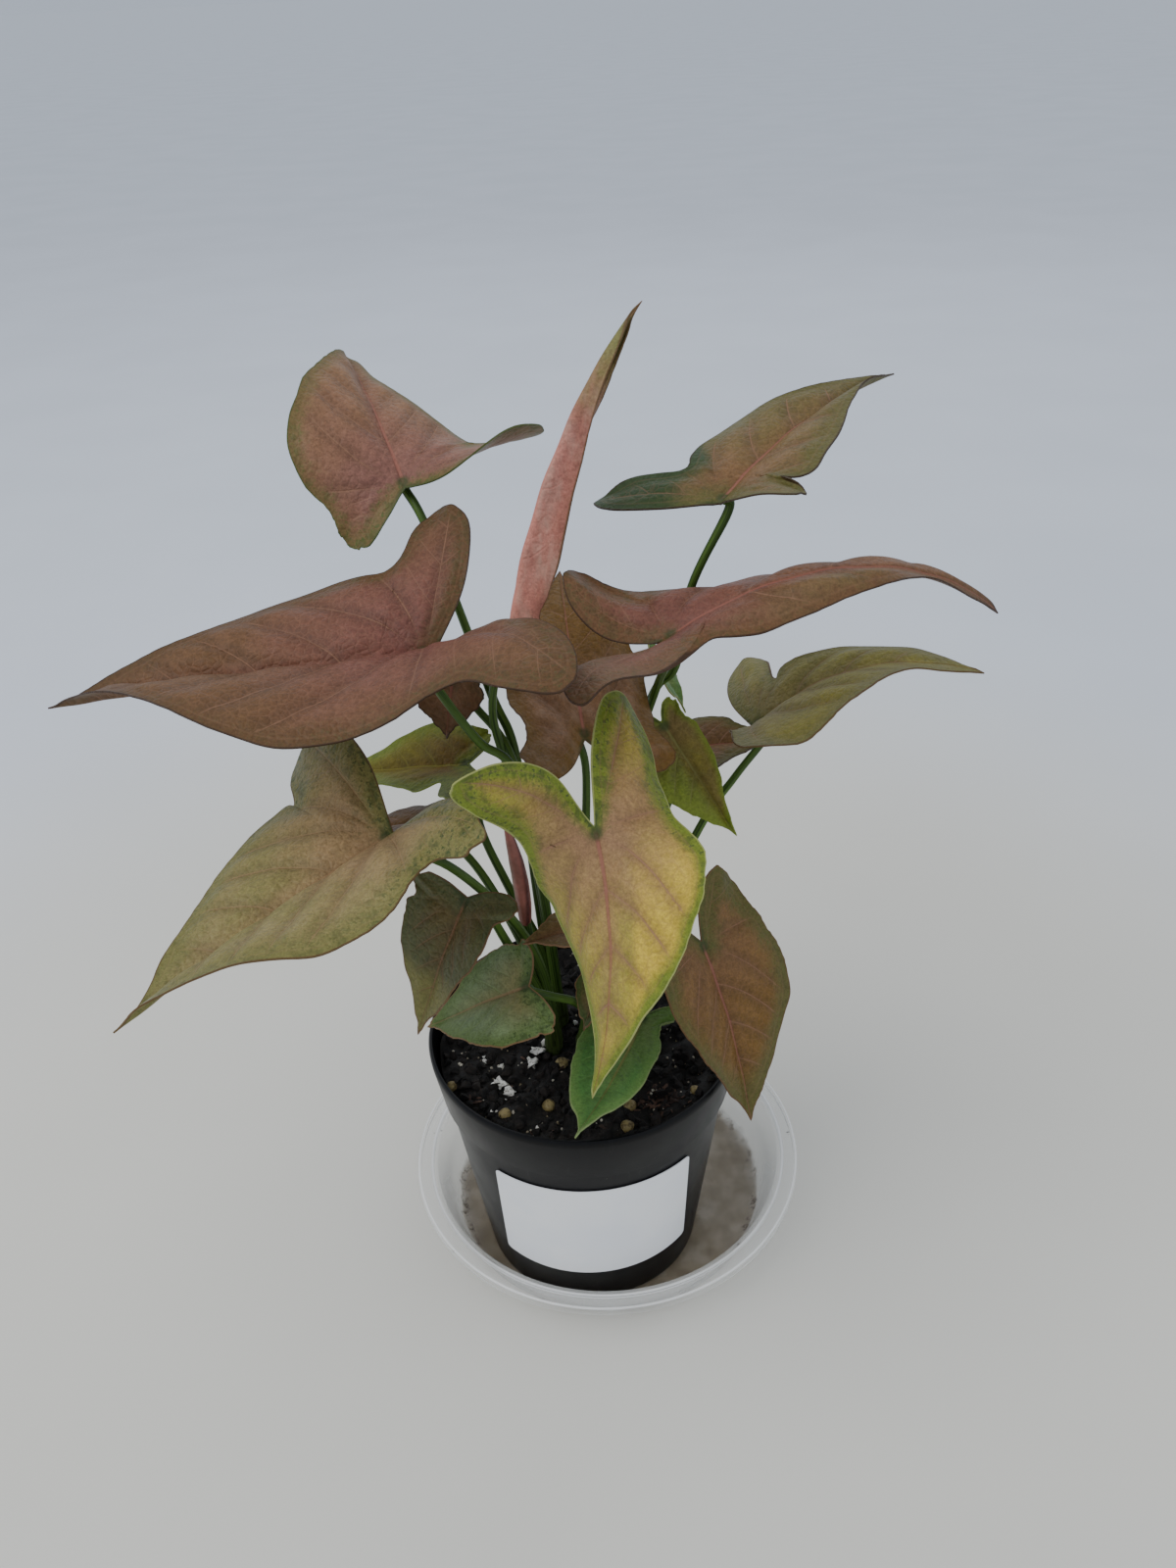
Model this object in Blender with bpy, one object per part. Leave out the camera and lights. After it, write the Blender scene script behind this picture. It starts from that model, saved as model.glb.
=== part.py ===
"""Arrowhead plant: five plantlets in a black nursery pot that stands in a clear plastic saucer.

Metres, +Z up. The origin is where the pot's axis meets the surface under the saucer.
Sizes of the plant are written in millimetres and degrees, and turned into metres where they are used.
"""
import math
import random
from dataclasses import dataclass

import bmesh
import bpy
import numpy as np
from mathutils import Vector

for old in list(bpy.data.objects):
    bpy.data.objects.remove(old, do_unlink=True)

MM = 0.001
CLEAR = 0.3          # gap between pieces that touch, mm

# Pot: a tapered body with a proud band round its top, mm
POT_RIM_RADIUS = 54.0
POT_RIM_HEIGHT = 98.0
POT_BAND_HEIGHT = 20.0
POT_BAND_STEP = 1.6
POT_BASE_RADIUS = 39.5
POT_WALL = 1.3
POT_FLOOR_RISE = 2.5
POT_FOOT_RING = 4.0          # width of the ring that the pot stands on
POT_EDGE_ROUND = 0.8
POT_SIDES = 40
DRAIN_HOLES = 6
DRAIN_HOLE_RADIUS = 4.0
DRAIN_HOLE_CIRCLE = 27.0
DRAIN_HOLE_SIDES = 10
DRAIN_CUT_DEPTH = 8.0

# Saucer: the pot stands off its middle, mm
SAUCER_CENTRE = (6.4, 13.9)
SAUCER_RIM_RADIUS = 73.5
SAUCER_LIP_INNER = 65.8
SAUCER_FLOOR_RADIUS = 59.0
SAUCER_HEIGHT = 22.0
SAUCER_WALL = 1.2
SAUCER_LIP_DEPTH = 3.0       # how far the lip's outer edge hangs down
SAUCER_FOOT_ROUND = 2.5
SAUCER_EDGE_ROUND = 0.6
SAUCER_SIDES = 44

# Label: a rectangle of card stuck round the front of the pot, mm and degrees
LABEL_WIDTH = 71.0
LABEL_TOP = 69.5
LABEL_BOTTOM = 19.5
LABEL_THICK = 0.4
LABEL_TURN = 2.0
LABEL_COLUMNS = 12
LABEL_ROWS = 3

# Soil, with lumps of perlite and feed grains half sunk in its top, mm
SOIL_TOP = 90.0
SOIL_SWELL = 1.2
SOIL_RINGS = (44, 36, 27, 18, 9, 0)
SOIL_SIDES = 30
LUMPS = 18
LUMP_RADIUS = (1.6, 2.4)
LUMP_REACH = (21, 45)        # nearest and farthest from the pot's axis
LUMP_SEED = 7

# Plant, mm
BLADE_THICK = 0.8
STEM_RADIUS = 3.2
STEM_FOOT = 76.0
STEM_TOP = 104.0
STEM_HOLE_SIDES = 12
STALK_FOOT_RADIUS = 2.1
STALK_NECK_RADIUS = 1.4
STALK_END_RADIUS = 1.0
STALK_RISE = 7.0             # first upright run of a stalk, inside its stem
STALK_STAGGER = 1.3          # each stalk leaves its stem this much above the one before
STALK_SPREAD = 0.5           # and this far off the stem's axis
STALK_NECK_RUN = 4.0         # last run of a stalk, square to its blade
STALK_GAP = 0.3              # added to CLEAR under a blade
STALK_ROUNDING = 1           # steps of roundness: six sides

POT_FOOT = SAUCER_WALL+CLEAR
POT_SLOPE = (POT_RIM_RADIUS-POT_BAND_STEP-POT_BASE_RADIUS)/(POT_RIM_HEIGHT-POT_FOOT)
POT_FLOOR_TOP = POT_FOOT+POT_FLOOR_RISE+POT_WALL


def pot_radius(z):
    """Outer radius of the pot's tapered body at height z, under the band."""
    return POT_BASE_RADIUS+POT_SLOPE*(z-POT_FOOT)


def material(name, colour, roughness, alpha=1.0):
    made = bpy.data.materials.new(name)
    made.use_nodes = True
    shader = made.node_tree.nodes["Principled BSDF"]
    shader.inputs["Base Color"].default_value = (*colour, 1.0)
    shader.inputs["Roughness"].default_value = roughness
    shader.inputs["Metallic"].default_value = 0.0
    shader.inputs["Alpha"].default_value = alpha
    return made


def add_object(name, mesh, finish):
    made = bpy.data.objects.new(name, mesh)
    bpy.context.scene.collection.objects.link(made)
    made.data.materials.clear()
    if finish:
        made.data.materials.append(finish)
    return made


def mesh_from(bm, name):
    bmesh.ops.recalc_face_normals(bm, faces=bm.faces)
    mesh = bpy.data.meshes.new(name)
    bm.to_mesh(mesh)
    bm.free()
    return mesh


def turned_mesh(name, profile, steps, centre=(0.0, 0.0)):
    """Spin a profile of (radius, height) in mm, from axis to axis, into a closed body."""
    bm = bmesh.new()
    line = [bm.verts.new((r*MM, 0.0, z*MM)) for r, z in profile]
    edges = [bm.edges.new(pair) for pair in zip(line, line[1:])]
    bmesh.ops.spin(bm, geom=line+edges, cent=(0, 0, 0), axis=(0, 0, 1), angle=math.tau, steps=steps)
    bmesh.ops.remove_doubles(bm, verts=bm.verts, dist=1e-6)
    bmesh.ops.translate(bm, verts=bm.verts, vec=(centre[0]*MM, centre[1]*MM, 0.0))
    return mesh_from(bm, name)


def boolean_with(target, collection, operation):
    """Join or cut the target with every object of a collection, apply it and clear them away."""
    step = target.modifiers.new(operation.lower(), "BOOLEAN")
    step.operation = operation
    step.operand_type = "COLLECTION"
    step.collection = collection
    step.solver = "EXACT"
    shape = target.evaluated_get(bpy.context.evaluated_depsgraph_get())
    joined = bpy.data.meshes.new_from_object(shape)
    target.modifiers.clear()
    target.data = joined
    for used in list(collection.objects):
        bpy.data.objects.remove(used, do_unlink=True)
    bpy.data.collections.remove(collection)


def group(name):
    made = bpy.data.collections.new(name)
    bpy.context.scene.collection.children.link(made)
    return made


def into_group(item, collection):
    for home in list(item.users_collection):
        home.objects.unlink(item)
    collection.objects.link(item)


# Saucer

def make_saucer(finish):
    """A floor, a leaning wall and a level lip with a turned-down edge."""
    floor, wall, lip = SAUCER_FLOOR_RADIUS, SAUCER_LIP_INNER, SAUCER_RIM_RADIUS
    thick, top, edge = SAUCER_WALL, SAUCER_HEIGHT, SAUCER_EDGE_ROUND
    under = [(0, 0), (floor-SAUCER_FOOT_ROUND, 0), (floor+edge, thick+edge), (wall+edge, top-thick-2*edge),
             (wall+thick+2*edge, top-thick), (lip-thick, top-thick), (lip-thick, top-SAUCER_LIP_DEPTH)]
    above = [(lip, top-SAUCER_LIP_DEPTH), (lip, top-edge), (lip-edge, top), (wall+thick+edge, top),
             (wall-edge, top-2*edge), (floor-edge, thick+2*edge), (floor-SAUCER_FOOT_ROUND-edge/2, thick),
             (0, thick)]
    return add_object("saucer", turned_mesh("saucer", under+above, SAUCER_SIDES, SAUCER_CENTRE), finish)


# Pot

def drain_cutters():
    holes = group("drain_holes")
    for i in range(DRAIN_HOLES):
        turn = math.tau*(i+0.5)/DRAIN_HOLES
        place = (DRAIN_HOLE_CIRCLE*math.cos(turn)*MM, DRAIN_HOLE_CIRCLE*math.sin(turn)*MM, POT_FLOOR_TOP*MM)
        bm = bmesh.new()
        bmesh.ops.create_cone(bm, cap_ends=True, segments=DRAIN_HOLE_SIDES, radius1=DRAIN_HOLE_RADIUS*MM,
                              radius2=DRAIN_HOLE_RADIUS*MM, depth=DRAIN_CUT_DEPTH*MM)
        bmesh.ops.translate(bm, verts=bm.verts, vec=place)
        into_group(add_object(f"drain_hole_{i}", mesh_from(bm, "drain_hole"), None), holes)
    return holes


def make_pot(finish):
    """A tapered body whose floor stands off the saucer on a ring, with a proud band at the rim."""
    edge, base, rim = POT_EDGE_ROUND, POT_BASE_RADIUS, POT_RIM_RADIUS
    floor, ring = POT_FOOT+POT_FLOOR_RISE, base-POT_FOOT_RING
    band_foot = POT_RIM_HEIGHT-POT_BAND_HEIGHT
    band = pot_radius(band_foot)
    outside = [(0, floor), (ring-edge, floor), (ring, POT_FOOT), (base-edge, POT_FOOT),
               (base, POT_FOOT+edge), (band, band_foot), (band+POT_BAND_STEP, band_foot+edge),
               (rim, POT_RIM_HEIGHT-edge), (rim-edge, POT_RIM_HEIGHT)]
    inside = [(rim-POT_WALL, POT_RIM_HEIGHT), (band-POT_WALL+POT_BAND_STEP, band_foot+3*edge),
              (band-POT_WALL, band_foot+edge), (pot_radius(POT_FLOOR_TOP)-POT_WALL, POT_FLOOR_TOP),
              (0, POT_FLOOR_TOP)]
    pot = add_object("pot", turned_mesh("pot", outside+inside, POT_SIDES), finish)
    boolean_with(pot, drain_cutters(), "DIFFERENCE")
    return pot


def make_label(finish):
    """A sheet that wraps the pot's taper: its side edges stay level lengths, so it turns further below."""
    columns, rows = LABEL_COLUMNS, LABEL_ROWS
    bm = bmesh.new()
    layers = []
    for offset in (CLEAR, CLEAR+LABEL_THICK):
        grid = []
        for j in range(rows+1):
            z = LABEL_BOTTOM+(LABEL_TOP-LABEL_BOTTOM)*j/rows
            radius = pot_radius(z)+offset
            row = []
            for i in range(columns+1):
                turn = math.radians(LABEL_TURN)+LABEL_WIDTH*(i/columns-0.5)/pot_radius(z)
                row.append(bm.verts.new((radius*math.sin(turn)*MM, -radius*math.cos(turn)*MM, z*MM)))
            grid.append(row)
        layers.append(grid)
    inner, outer = layers
    for grid in layers:
        for low, high in zip(grid, grid[1:]):
            for i in range(columns):
                bm.faces.new((low[i], low[i+1], high[i+1]))
                bm.faces.new((low[i], high[i+1], high[i]))
    border = [(0, i) for i in range(columns)]+[(j, columns) for j in range(rows)]
    border += [(rows, i) for i in range(columns, 0, -1)]+[(j, 0) for j in range(rows, 0, -1)]
    for (j, i), (k, m) in zip(border, border[1:]+border[:1]):
        bm.faces.new((inner[j][i], inner[k][m], outer[k][m], outer[j][i]))
    return add_object("label", mesh_from(bm, "label"), finish)


# Soil

def soil_height(x, y):
    """Gentle lumps of the soil's top, mm."""
    swell = math.sin(0.21*x+0.6)*math.cos(0.17*y-0.4)+0.6*math.sin(0.34*x-0.29*y)
    return SOIL_TOP+SOIL_SWELL*swell


def scatter_lumps():
    """Places and sizes of the perlite and feed grains: a sunflower spiral with seeded wander, mm."""
    draw = random.Random(LUMP_SEED)
    golden = math.pi*(3-math.sqrt(5))
    for i in range(LUMPS):
        near, far = LUMP_REACH
        reach = near+(far-near)*math.sqrt((i+0.5)/LUMPS)+draw.uniform(-1.5, 1.5)
        turn = golden*i+draw.uniform(-0.2, 0.2)
        yield reach*math.cos(turn), reach*math.sin(turn), draw.uniform(*LUMP_RADIUS)


def make_soil(finish, stems):
    """A plug that fills the pot to its band, with lumps in its top and a hole for each stem."""
    step = POT_RIM_HEIGHT-POT_BAND_HEIGHT
    edge = pot_radius(step)-POT_WALL-CLEAR
    foot = pot_radius(POT_FLOOR_TOP)-POT_WALL-CLEAR
    profile = [(0, POT_FLOOR_TOP+CLEAR), (foot-CLEAR, POT_FLOOR_TOP+CLEAR), (edge, step),
               (edge+CLEAR, SOIL_TOP)]
    profile += [(r, SOIL_TOP) for r in SOIL_RINGS]
    mesh = turned_mesh("soil", profile, SOIL_SIDES)
    for point in mesh.vertices:
        if point.co.z > (SOIL_TOP-1)*MM:
            point.co.z = soil_height(point.co.x/MM, point.co.y/MM)*MM
    soil = add_object("soil", mesh, finish)
    lumps = group("lumps")
    for i, (x, y, size) in enumerate(scatter_lumps()):
        bm = bmesh.new()
        bmesh.ops.create_icosphere(bm, subdivisions=1, radius=size*MM)
        bmesh.ops.translate(bm, verts=bm.verts, vec=(x*MM, y*MM, soil_height(x, y)*MM))
        into_group(add_object(f"lump_{i}", mesh_from(bm, "lump"), None), lumps)
    boolean_with(soil, lumps, "UNION")
    holes = group("stem_holes")
    top = SOIL_TOP+POT_BAND_HEIGHT
    foot = STEM_FOOT-CLEAR
    for i, (x, y) in enumerate(stems):
        bm = bmesh.new()
        bmesh.ops.create_cone(bm, cap_ends=True, segments=STEM_HOLE_SIDES, radius1=(STEM_RADIUS+2*CLEAR)*MM,
                              radius2=(STEM_RADIUS+2*CLEAR)*MM, depth=(top-foot)*MM)
        bmesh.ops.translate(bm, verts=bm.verts, vec=(x*MM, y*MM, (top+foot)/2*MM))
        into_group(add_object(f"stem_hole_{i}", mesh_from(bm, "stem_hole"), None), holes)
    boolean_with(soil, holes, "DIFFERENCE")
    return soil


# Leaf blades

@dataclass
class Leaf:
    """One arrowhead blade. Pairs are (left, right) of the midrib, seen from above with the tip ahead."""
    name: str
    plantlet: str
    at: tuple                    # where the stalk meets the blade
    length: float                # from the stalk to the tip
    width: tuple                 # half widths
    lobe: tuple                  # lengths of the two lobes beside the stalk
    spread: tuple                # turn from the tip round to each lobe
    facing: tuple                # heading, pitch and roll of the blade at the stalk
    droop: float = 0.0           # arch of the midrib, stalk to tip
    lobe_droop: tuple = (10, 10)
    fold: tuple = (15, 15)       # how far each half stands up from flat
    lobe_fold: tuple = (15, 15)
    cup: float = 12.0            # curl of each half from midrib to margin
    twist: float = 0.0           # turn of the blade about its midrib at the tip
    twist_power: float = 1.0     # 1 turns evenly, more turns late
    sway: float = 0.0            # sideways bend of the midrib
    neck: tuple = (0, 0)         # how far each outer margin is drawn in
    waist: float = 0.88          # width beside the stalk, as a share of the widest
    finish: str = "blade_mauve"
    stalk: tuple = ()            # points that the stalk passes, from the stem up


LEAVES = [
    Leaf("leaf_upper_left", "left_back", (-47, 50, 278), 74, (30, 29), (23, 47), (118, 100), (114, 39, -15),
         droop=40, lobe_droop=(40, 60), fold=(20, -5), lobe_fold=(-13, 41), cup=23, twist=45, sway=2,
         neck=(0, 0.45), waist=0.83, stalk=((-12, 11, 130), (-17, 18, 196), (-24, 24, 218), (-40, 44, 263))),
    Leaf("leaf_big_left", "left_back", (-40, 0, 244), 112, (44, 33), (75, 52), (120, 110), (191, 1, -2),
         droop=16, lobe_droop=(35, 15), fold=(17, 39), lobe_fold=(55, 60), cup=40, twist=23, sway=-25,
         neck=(-0.3, 0.15), waist=1.0, stalk=((-11, 8, 150), (-17, 6, 198), (-27, 3, 212), (-37, 2, 230))),
    Leaf("leaf_folded_top", "left_back", (-15, 10, 246), 99, (10, 12), (20, 20), (140, 140), (205, 101, 0),
         droop=-34, lobe_droop=(0, 0), fold=(68, 54), lobe_fold=(62, 52), cup=20, twist=-100, twist_power=3,
         finish="blade_pink_back", stalk=((-12, 13, 150), (-19, 15, 190), (-23, 13, 215), (-20, 10, 235))),
    Leaf("leaf_upper_right", "right_back", (48, 20, 279), 86, (21, 19), (41, 28), (112, 90), (47, 25, -4),
         droop=25, lobe_droop=(5, 20), fold=(18, 6), lobe_fold=(22, 47), cup=18, twist=-6, sway=-5,
         neck=(0.1, 0.3), waist=0.83, finish="blade_olive",
         stalk=((7, 18, 130), (17, 29, 180), (28, 33, 210), (35, 30, 221), (39, 22, 251))),
    Leaf("leaf_long_right", "right_back", (31, -4, 248), 119, (25, 15), (43, 58), (139, 129), (9, 33, 2),
         droop=80, lobe_droop=(60, 42), fold=(-8, -13), lobe_fold=(60, 58), cup=27, twist=-10, sway=13,
         waist=0.9, stalk=((8, 17, 130), (18, 27, 180), (28, 30, 211), (31, 12, 231))),
    Leaf("leaf_mid_right", "right_front", (61, 24, 202), 76, (17, 34), (42, 12), (90, 126), (-1, 49, -6),
         droop=71, lobe_droop=(17, 35), fold=(17, 5), lobe_fold=(20, 47), cup=14, twist=-14,
         neck=(-0.4, 0.3), waist=0.82, finish="blade_olive",
         stalk=((20, 6, 125), (42, 19, 166), (54, 23, 183))),
    Leaf("leaf_front", "centre_front", (7, -55, 216), 71, (29, 26), (51, 51), (154, 132), (285, -48, 27),
         droop=30, lobe_droop=(-17, 50), fold=(14, -15), lobe_fold=(-25, 60), cup=40, twist=34, sway=-35,
         neck=(0.1, 0.3), waist=0.75, finish="blade_golden",
         stalk=((8, -5, 130), (12, -8, 155), (10, -22, 182), (8, -38, 206), (8, -48, 214))),
    Leaf("leaf_lower_left", "left_front", (-53, -30, 201), 88, (40, 38), (51, 52), (122, 91),
         (212, -14, -10), droop=-10, lobe_droop=(56, 0), fold=(36, 14), lobe_fold=(56, 40), cup=40,
         twist=19, sway=19, neck=(-0.1, 0.1), waist=0.91, finish="blade_sage",
         stalk=((-13, -2, 125), (-21, -7, 151), (-37, -22, 184))),
    Leaf("leaf_dark_left", "left_front", (-33, -25, 173), 46, (18, 18), (20, 17), (113, 94), (221, -53, -7),
         droop=17, lobe_droop=(12, 15), fold=(24, 19), lobe_fold=(8, 28), cup=11, twist=8,
         finish="blade_dark", stalk=((-15, -4, 120), (-23, -8, 142), (-28, -15, 162))),
    Leaf("leaf_heart_small", "centre_front", (-17, -25, 138), 41, (19, 16), (16, 14), (116, 116),
         (172, -26, -28), droop=13, lobe_droop=(10, 20), fold=(19, 12), lobe_fold=(-6, 30), cup=13, twist=8,
         finish="blade_grey_green", stalk=((2, -12, 110), (-1, -16, 122), (-9, -21, 130))),
    Leaf("leaf_low_green", "centre_front", (20, -15, 113), 57, (10, 16), (13, 14), (128, 128),
         (249, -4, -10), droop=-10, fold=(5, 6), lobe_fold=(14, 15), cup=14, sway=-8,
         neck=(-0.2, -0.3), waist=0.7, finish="blade_green", stalk=((10, -13, 104),)),
    Leaf("leaf_lower_right", "right_front", (40, -15, 143), 63, (26, 23), (26, 21), (143, 128),
         (309, -57, -2), droop=18, lobe_droop=(4, 10), fold=(17, 17), lobe_fold=(9, 10), cup=12, twist=5,
         sway=-4, neck=(-0.1, 0), finish="blade_brown", stalk=((20, -4, 115), (33, -11, 136))),
    Leaf("leaf_centre", "right_back", (5, 10, 209), 69, (23, 25), (31, 29), (126, 126), (99, 42, 18),
         droop=32, lobe_droop=(11, 11), fold=(5, 1), lobe_fold=(27, 44), cup=18, twist=-22, sway=-17,
         waist=0.93, stalk=((3, 15, 150), (5, 17, 190))),
    Leaf("leaf_yellow_left", "left_back", (-34, 20, 194), 53, (16, 17), (34, 12), (119, 121),
         (155, -14, -12), droop=4, lobe_droop=(12, 12), fold=(15, 23), lobe_fold=(23, 7), cup=5, waist=0.84,
         finish="blade_golden", stalk=((-13, 9, 125), (-23, 10, 153), (-30, 14, 172))),
    Leaf("leaf_drooping_right", "right_front", (30.5, 21, 204.5), 43, (9, 17), (9, 11), (140, 140),
         (-42, -46, 40), droop=12, fold=(20, 20), lobe_fold=(15, 15), cup=15, twist=12,
         waist=0.85, finish="blade_olive", stalk=((17, 7, 140), (22, 15, 185))),
    Leaf("leaf_behind_right", "right_front", (37, 50, 176), 36, (15, 18), (16, 16), (122, 122),
         (-8, 24, 8), droop=30, waist=0.85, stalk=((18, 11, 120), (29, 32, 155))),
    Leaf("leaf_behind_left", "left_front", (-50, 18, 174), 30, (12, 12), (15, 15), (122, 122),
         (170, -10, 12), droop=25, waist=0.85, stalk=((-14, -1, 120), (-27, 5, 153), (-38, 12, 167))),
    Leaf("leaf_under_left", "left_back", (-35, 22, 224), 19, (12, 12), (12, 12), (122, 122), (250, -50, 0),
         droop=25, waist=0.85, stalk=((-12, 10, 150), (-18, 14, 198), (-29, 22, 214))),
    Leaf("leaf_sliver_green", "right_back", (29, 49, 213), 22, (8, 8), (9, 9), (122, 122), (-10, -50, 0),
         droop=20, waist=0.85, finish="blade_green", stalk=((7, 23, 140), (20, 42, 190))),
    Leaf("leaf_tiny_brown", "centre_front", (5, -15, 153), 23, (12, 10), (11, 11), (122, 122), (192, 3, 0),
         droop=15, waist=0.85, finish="blade_brown", stalk=((3, -10, 120), (6, -12, 143))),
    Leaf("leaf_low_brown", "centre_front", (7, -19, 135), 19, (9, 8), (9, 9), (122, 122), (222, -55, 0),
         droop=15, waist=0.85, finish="blade_brown", stalk=((3, -10, 112), (7, -14, 128))),
]

STEMS = {
    "left_back": (-9, 9),
    "left_front": (-11, -3),
    "centre_front": (1, -9),
    "right_back": (3, 12),
    "right_front": (12, 1),
}

# The rolled new leaf stands on a stalk of its own, in the left front plantlet
SPEAR_FOOT = (-17, 0, 143)
SPEAR_TIP = (-21, -2, 186)
SPEAR_RADIUS = 3.0
SPEAR_BOW = 1.2
SPEAR_STALK = ((-13, -1, 118), (-16, 0, 134))
SPEAR_STALK_RADII = (2.2, 2.0, 1.8)
SPEAR_STALK_OUT = (0.6, 0.6, 6.0)    # where its stalk leaves the stem, from the stem at the soil

LARGE_BLADE = 60.0           # a blade longer than this gets the finer grid
FINE_RINGS = 4
COARSE_RINGS = 3
RING_POWER = 0.85            # under 1 sets the rings closer together near the margin
HUB = 0.12                   # where the rings are centred, ahead of the stalk, as a share of the length
NOTCH = 0.03                 # how far the notch between the lobes lies behind the stalk
SHOULDER_TURN = 18.0         # least turn, seen from the hub, between a half's shoulder and its lobe's tip
FOLD_ROUND = 1.5             # half width of the rounded crease along the midrib, mm
SIDE_STEP = 0.4              # how far to each side of a point the blade's slope is read, mm
MOST_SPREAD = 1.4            # limit to the extra thickness offset at a sharp fold
MARGIN_WAVES = 3.0
MARGIN_WAVE_HEIGHT = 0.012   # as a share of the blade's length


def half_outline(length, half_width, lobe, spread, waist, neck):
    """Key points of one half of the flat outline, from the tip round the lobe towards the notch."""
    turn = math.radians(spread)
    ahead = np.array([math.cos(turn), math.sin(turn)])*lobe
    aside = np.array([math.sin(turn), -math.cos(turn)])*lobe
    seen = math.atan2(ahead[1], ahead[0]-HUB*length)-math.radians(SHOULDER_TURN)
    forward = HUB*length+waist*half_width/math.tan(seen)
    shoulder = np.array([max(-0.02*length, forward), waist*half_width])
    run = ahead-shoulder
    belly = np.array([-run[1], run[0]])/np.hypot(*run)*lobe
    if belly @ shoulder < 0:
        belly = -belly
    wide = 2*half_width
    points = [(length, 0.0), (0.90*length, 0.05*wide), (0.70*length, 0.22*wide*(1-neck)),
              (0.45*length, 0.42*wide*(1-0.4*neck)), (0.20*length, 0.5*wide), shoulder,
              shoulder+0.50*run+0.10*belly, shoulder+0.85*run+0.08*belly, ahead,
              0.82*ahead-0.14*aside, 0.45*ahead-0.16*aside]
    points = np.array([tuple(p) for p in points])
    behind = np.clip(-points[1:, 0], 0, None)
    points[1:, 1] = np.maximum(points[1:, 1], 0.015*length+0.12*behind)
    return points


def blade_outline(leaf):
    """The whole margin: left half from tip to notch, then the right half back to the tip."""
    left, right = (half_outline(leaf.length, leaf.width[i], leaf.lobe[i], leaf.spread[i], leaf.waist,
                                leaf.neck[i]) for i in (0, 1))
    return np.vstack([left, [(-NOTCH*leaf.length, 0.0)], (right*(1, -1))[:0:-1]])


def arc(run, curve):
    """Where a run along an arc of the given curvature ends: along and below its start."""
    curve = np.where(np.abs(curve) < 1e-6, 1e-6, curve)
    return np.sin(curve*run)/curve, (1-np.cos(curve*run))/curve


def ease(low, high, value):
    share = np.clip((value-low)/(high-low), 0, 1)
    return share*share*(3-2*share)


def bend_blade(leaf, flat, lift):
    """Arch, fold, cup and twist flat points of a blade; lift is their height over the flat blade."""
    x, y = flat[:, 0], flat[:, 1]
    left = y >= 0

    def by_side(pair):
        return np.where(left, *pair)

    along = np.where(x > 0, math.radians(leaf.droop)/leaf.length,
                     -np.radians(by_side(leaf.lobe_droop))/by_side(leaf.lobe))
    lean = along*x
    middle_x, middle_drop = arc(x, along)
    on_blade = ease(-0.25*leaf.length, 0.25*leaf.length, x)
    fold = np.radians(by_side(leaf.fold)*on_blade+by_side(leaf.lobe_fold)*(1-on_blade))
    fold = fold*(1-np.exp(-(y/FOLD_ROUND)**2))
    out, down = arc(np.abs(y), math.radians(leaf.cup)/(0.5*sum(leaf.width)))
    down = down-lift
    side = (out*np.cos(fold)+down*np.sin(fold))*by_side((1, -1))
    rise = out*np.sin(fold)-down*np.cos(fold)
    share = x/leaf.length
    twist = np.radians(leaf.twist)*np.clip(share, -1, 1)*np.abs(share)**(leaf.twist_power-1)
    side, rise = side*np.cos(twist)-rise*np.sin(twist), side*np.sin(twist)+rise*np.cos(twist)
    ahead = np.clip(x, 0, None)
    sway = math.radians(leaf.sway)*ahead/leaf.length*0.5
    return np.column_stack([middle_x+rise*np.sin(lean), side+ahead*np.sin(sway),
                            rise*np.cos(lean)-middle_drop])


def blade_axes(leaf):
    """Directions of the blade at its stalk: towards the tip, to its left, and up from its face."""
    heading, pitch, roll = (math.radians(a) for a in leaf.facing)
    tip = np.array([math.cos(heading)*math.cos(pitch), math.sin(heading)*math.cos(pitch), math.sin(pitch)])
    level = np.array([-math.sin(heading), math.cos(heading), 0.0])
    face = np.cross(tip, level)
    return tip, level*math.cos(roll)+face*math.sin(roll), face*math.cos(roll)-level*math.sin(roll)


def stand_blade(leaf, bent):
    return np.array(leaf.at)+bent @ np.array(blade_axes(leaf))


def face_normals(leaf, flat):
    """Directions square to the blade at flat points, longer where the blade is sharply folded."""
    sides = []
    for side in (1, -1):
        beside = flat.copy()
        beside[:, 1] += SIDE_STEP*np.where(flat[:, 1] == 0, side, np.sign(flat[:, 1]))
        slopes = []
        for step in np.eye(2)*SIDE_STEP/2:
            ahead, behind = beside+step, beside-step
            level = np.zeros(len(flat))
            slopes.append(bend_blade(leaf, ahead, level)-bend_blade(leaf, behind, level))
        square = np.cross(*slopes)
        sides.append(square/np.linalg.norm(square, axis=1, keepdims=True))
    middle = sides[0]+sides[1]
    middle /= np.linalg.norm(middle, axis=1, keepdims=True)
    fold = np.sum(middle*sides[0], axis=1, keepdims=True)
    return middle/np.maximum(fold, 1/MOST_SPREAD)


def ring_triangles(count, rings):
    """A fan round the hub, then bands of triangles from ring to ring."""
    triangles = []
    for i in range(count):
        j = (i+1) % count
        triangles.append((0, 1+i, 1+j))
        for k in range(rings-1):
            low, high = 1+k*count, 1+(k+1)*count
            triangles += [(low+i, high+i, high+j), (low+i, high+j, low+j)]
    return triangles


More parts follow.
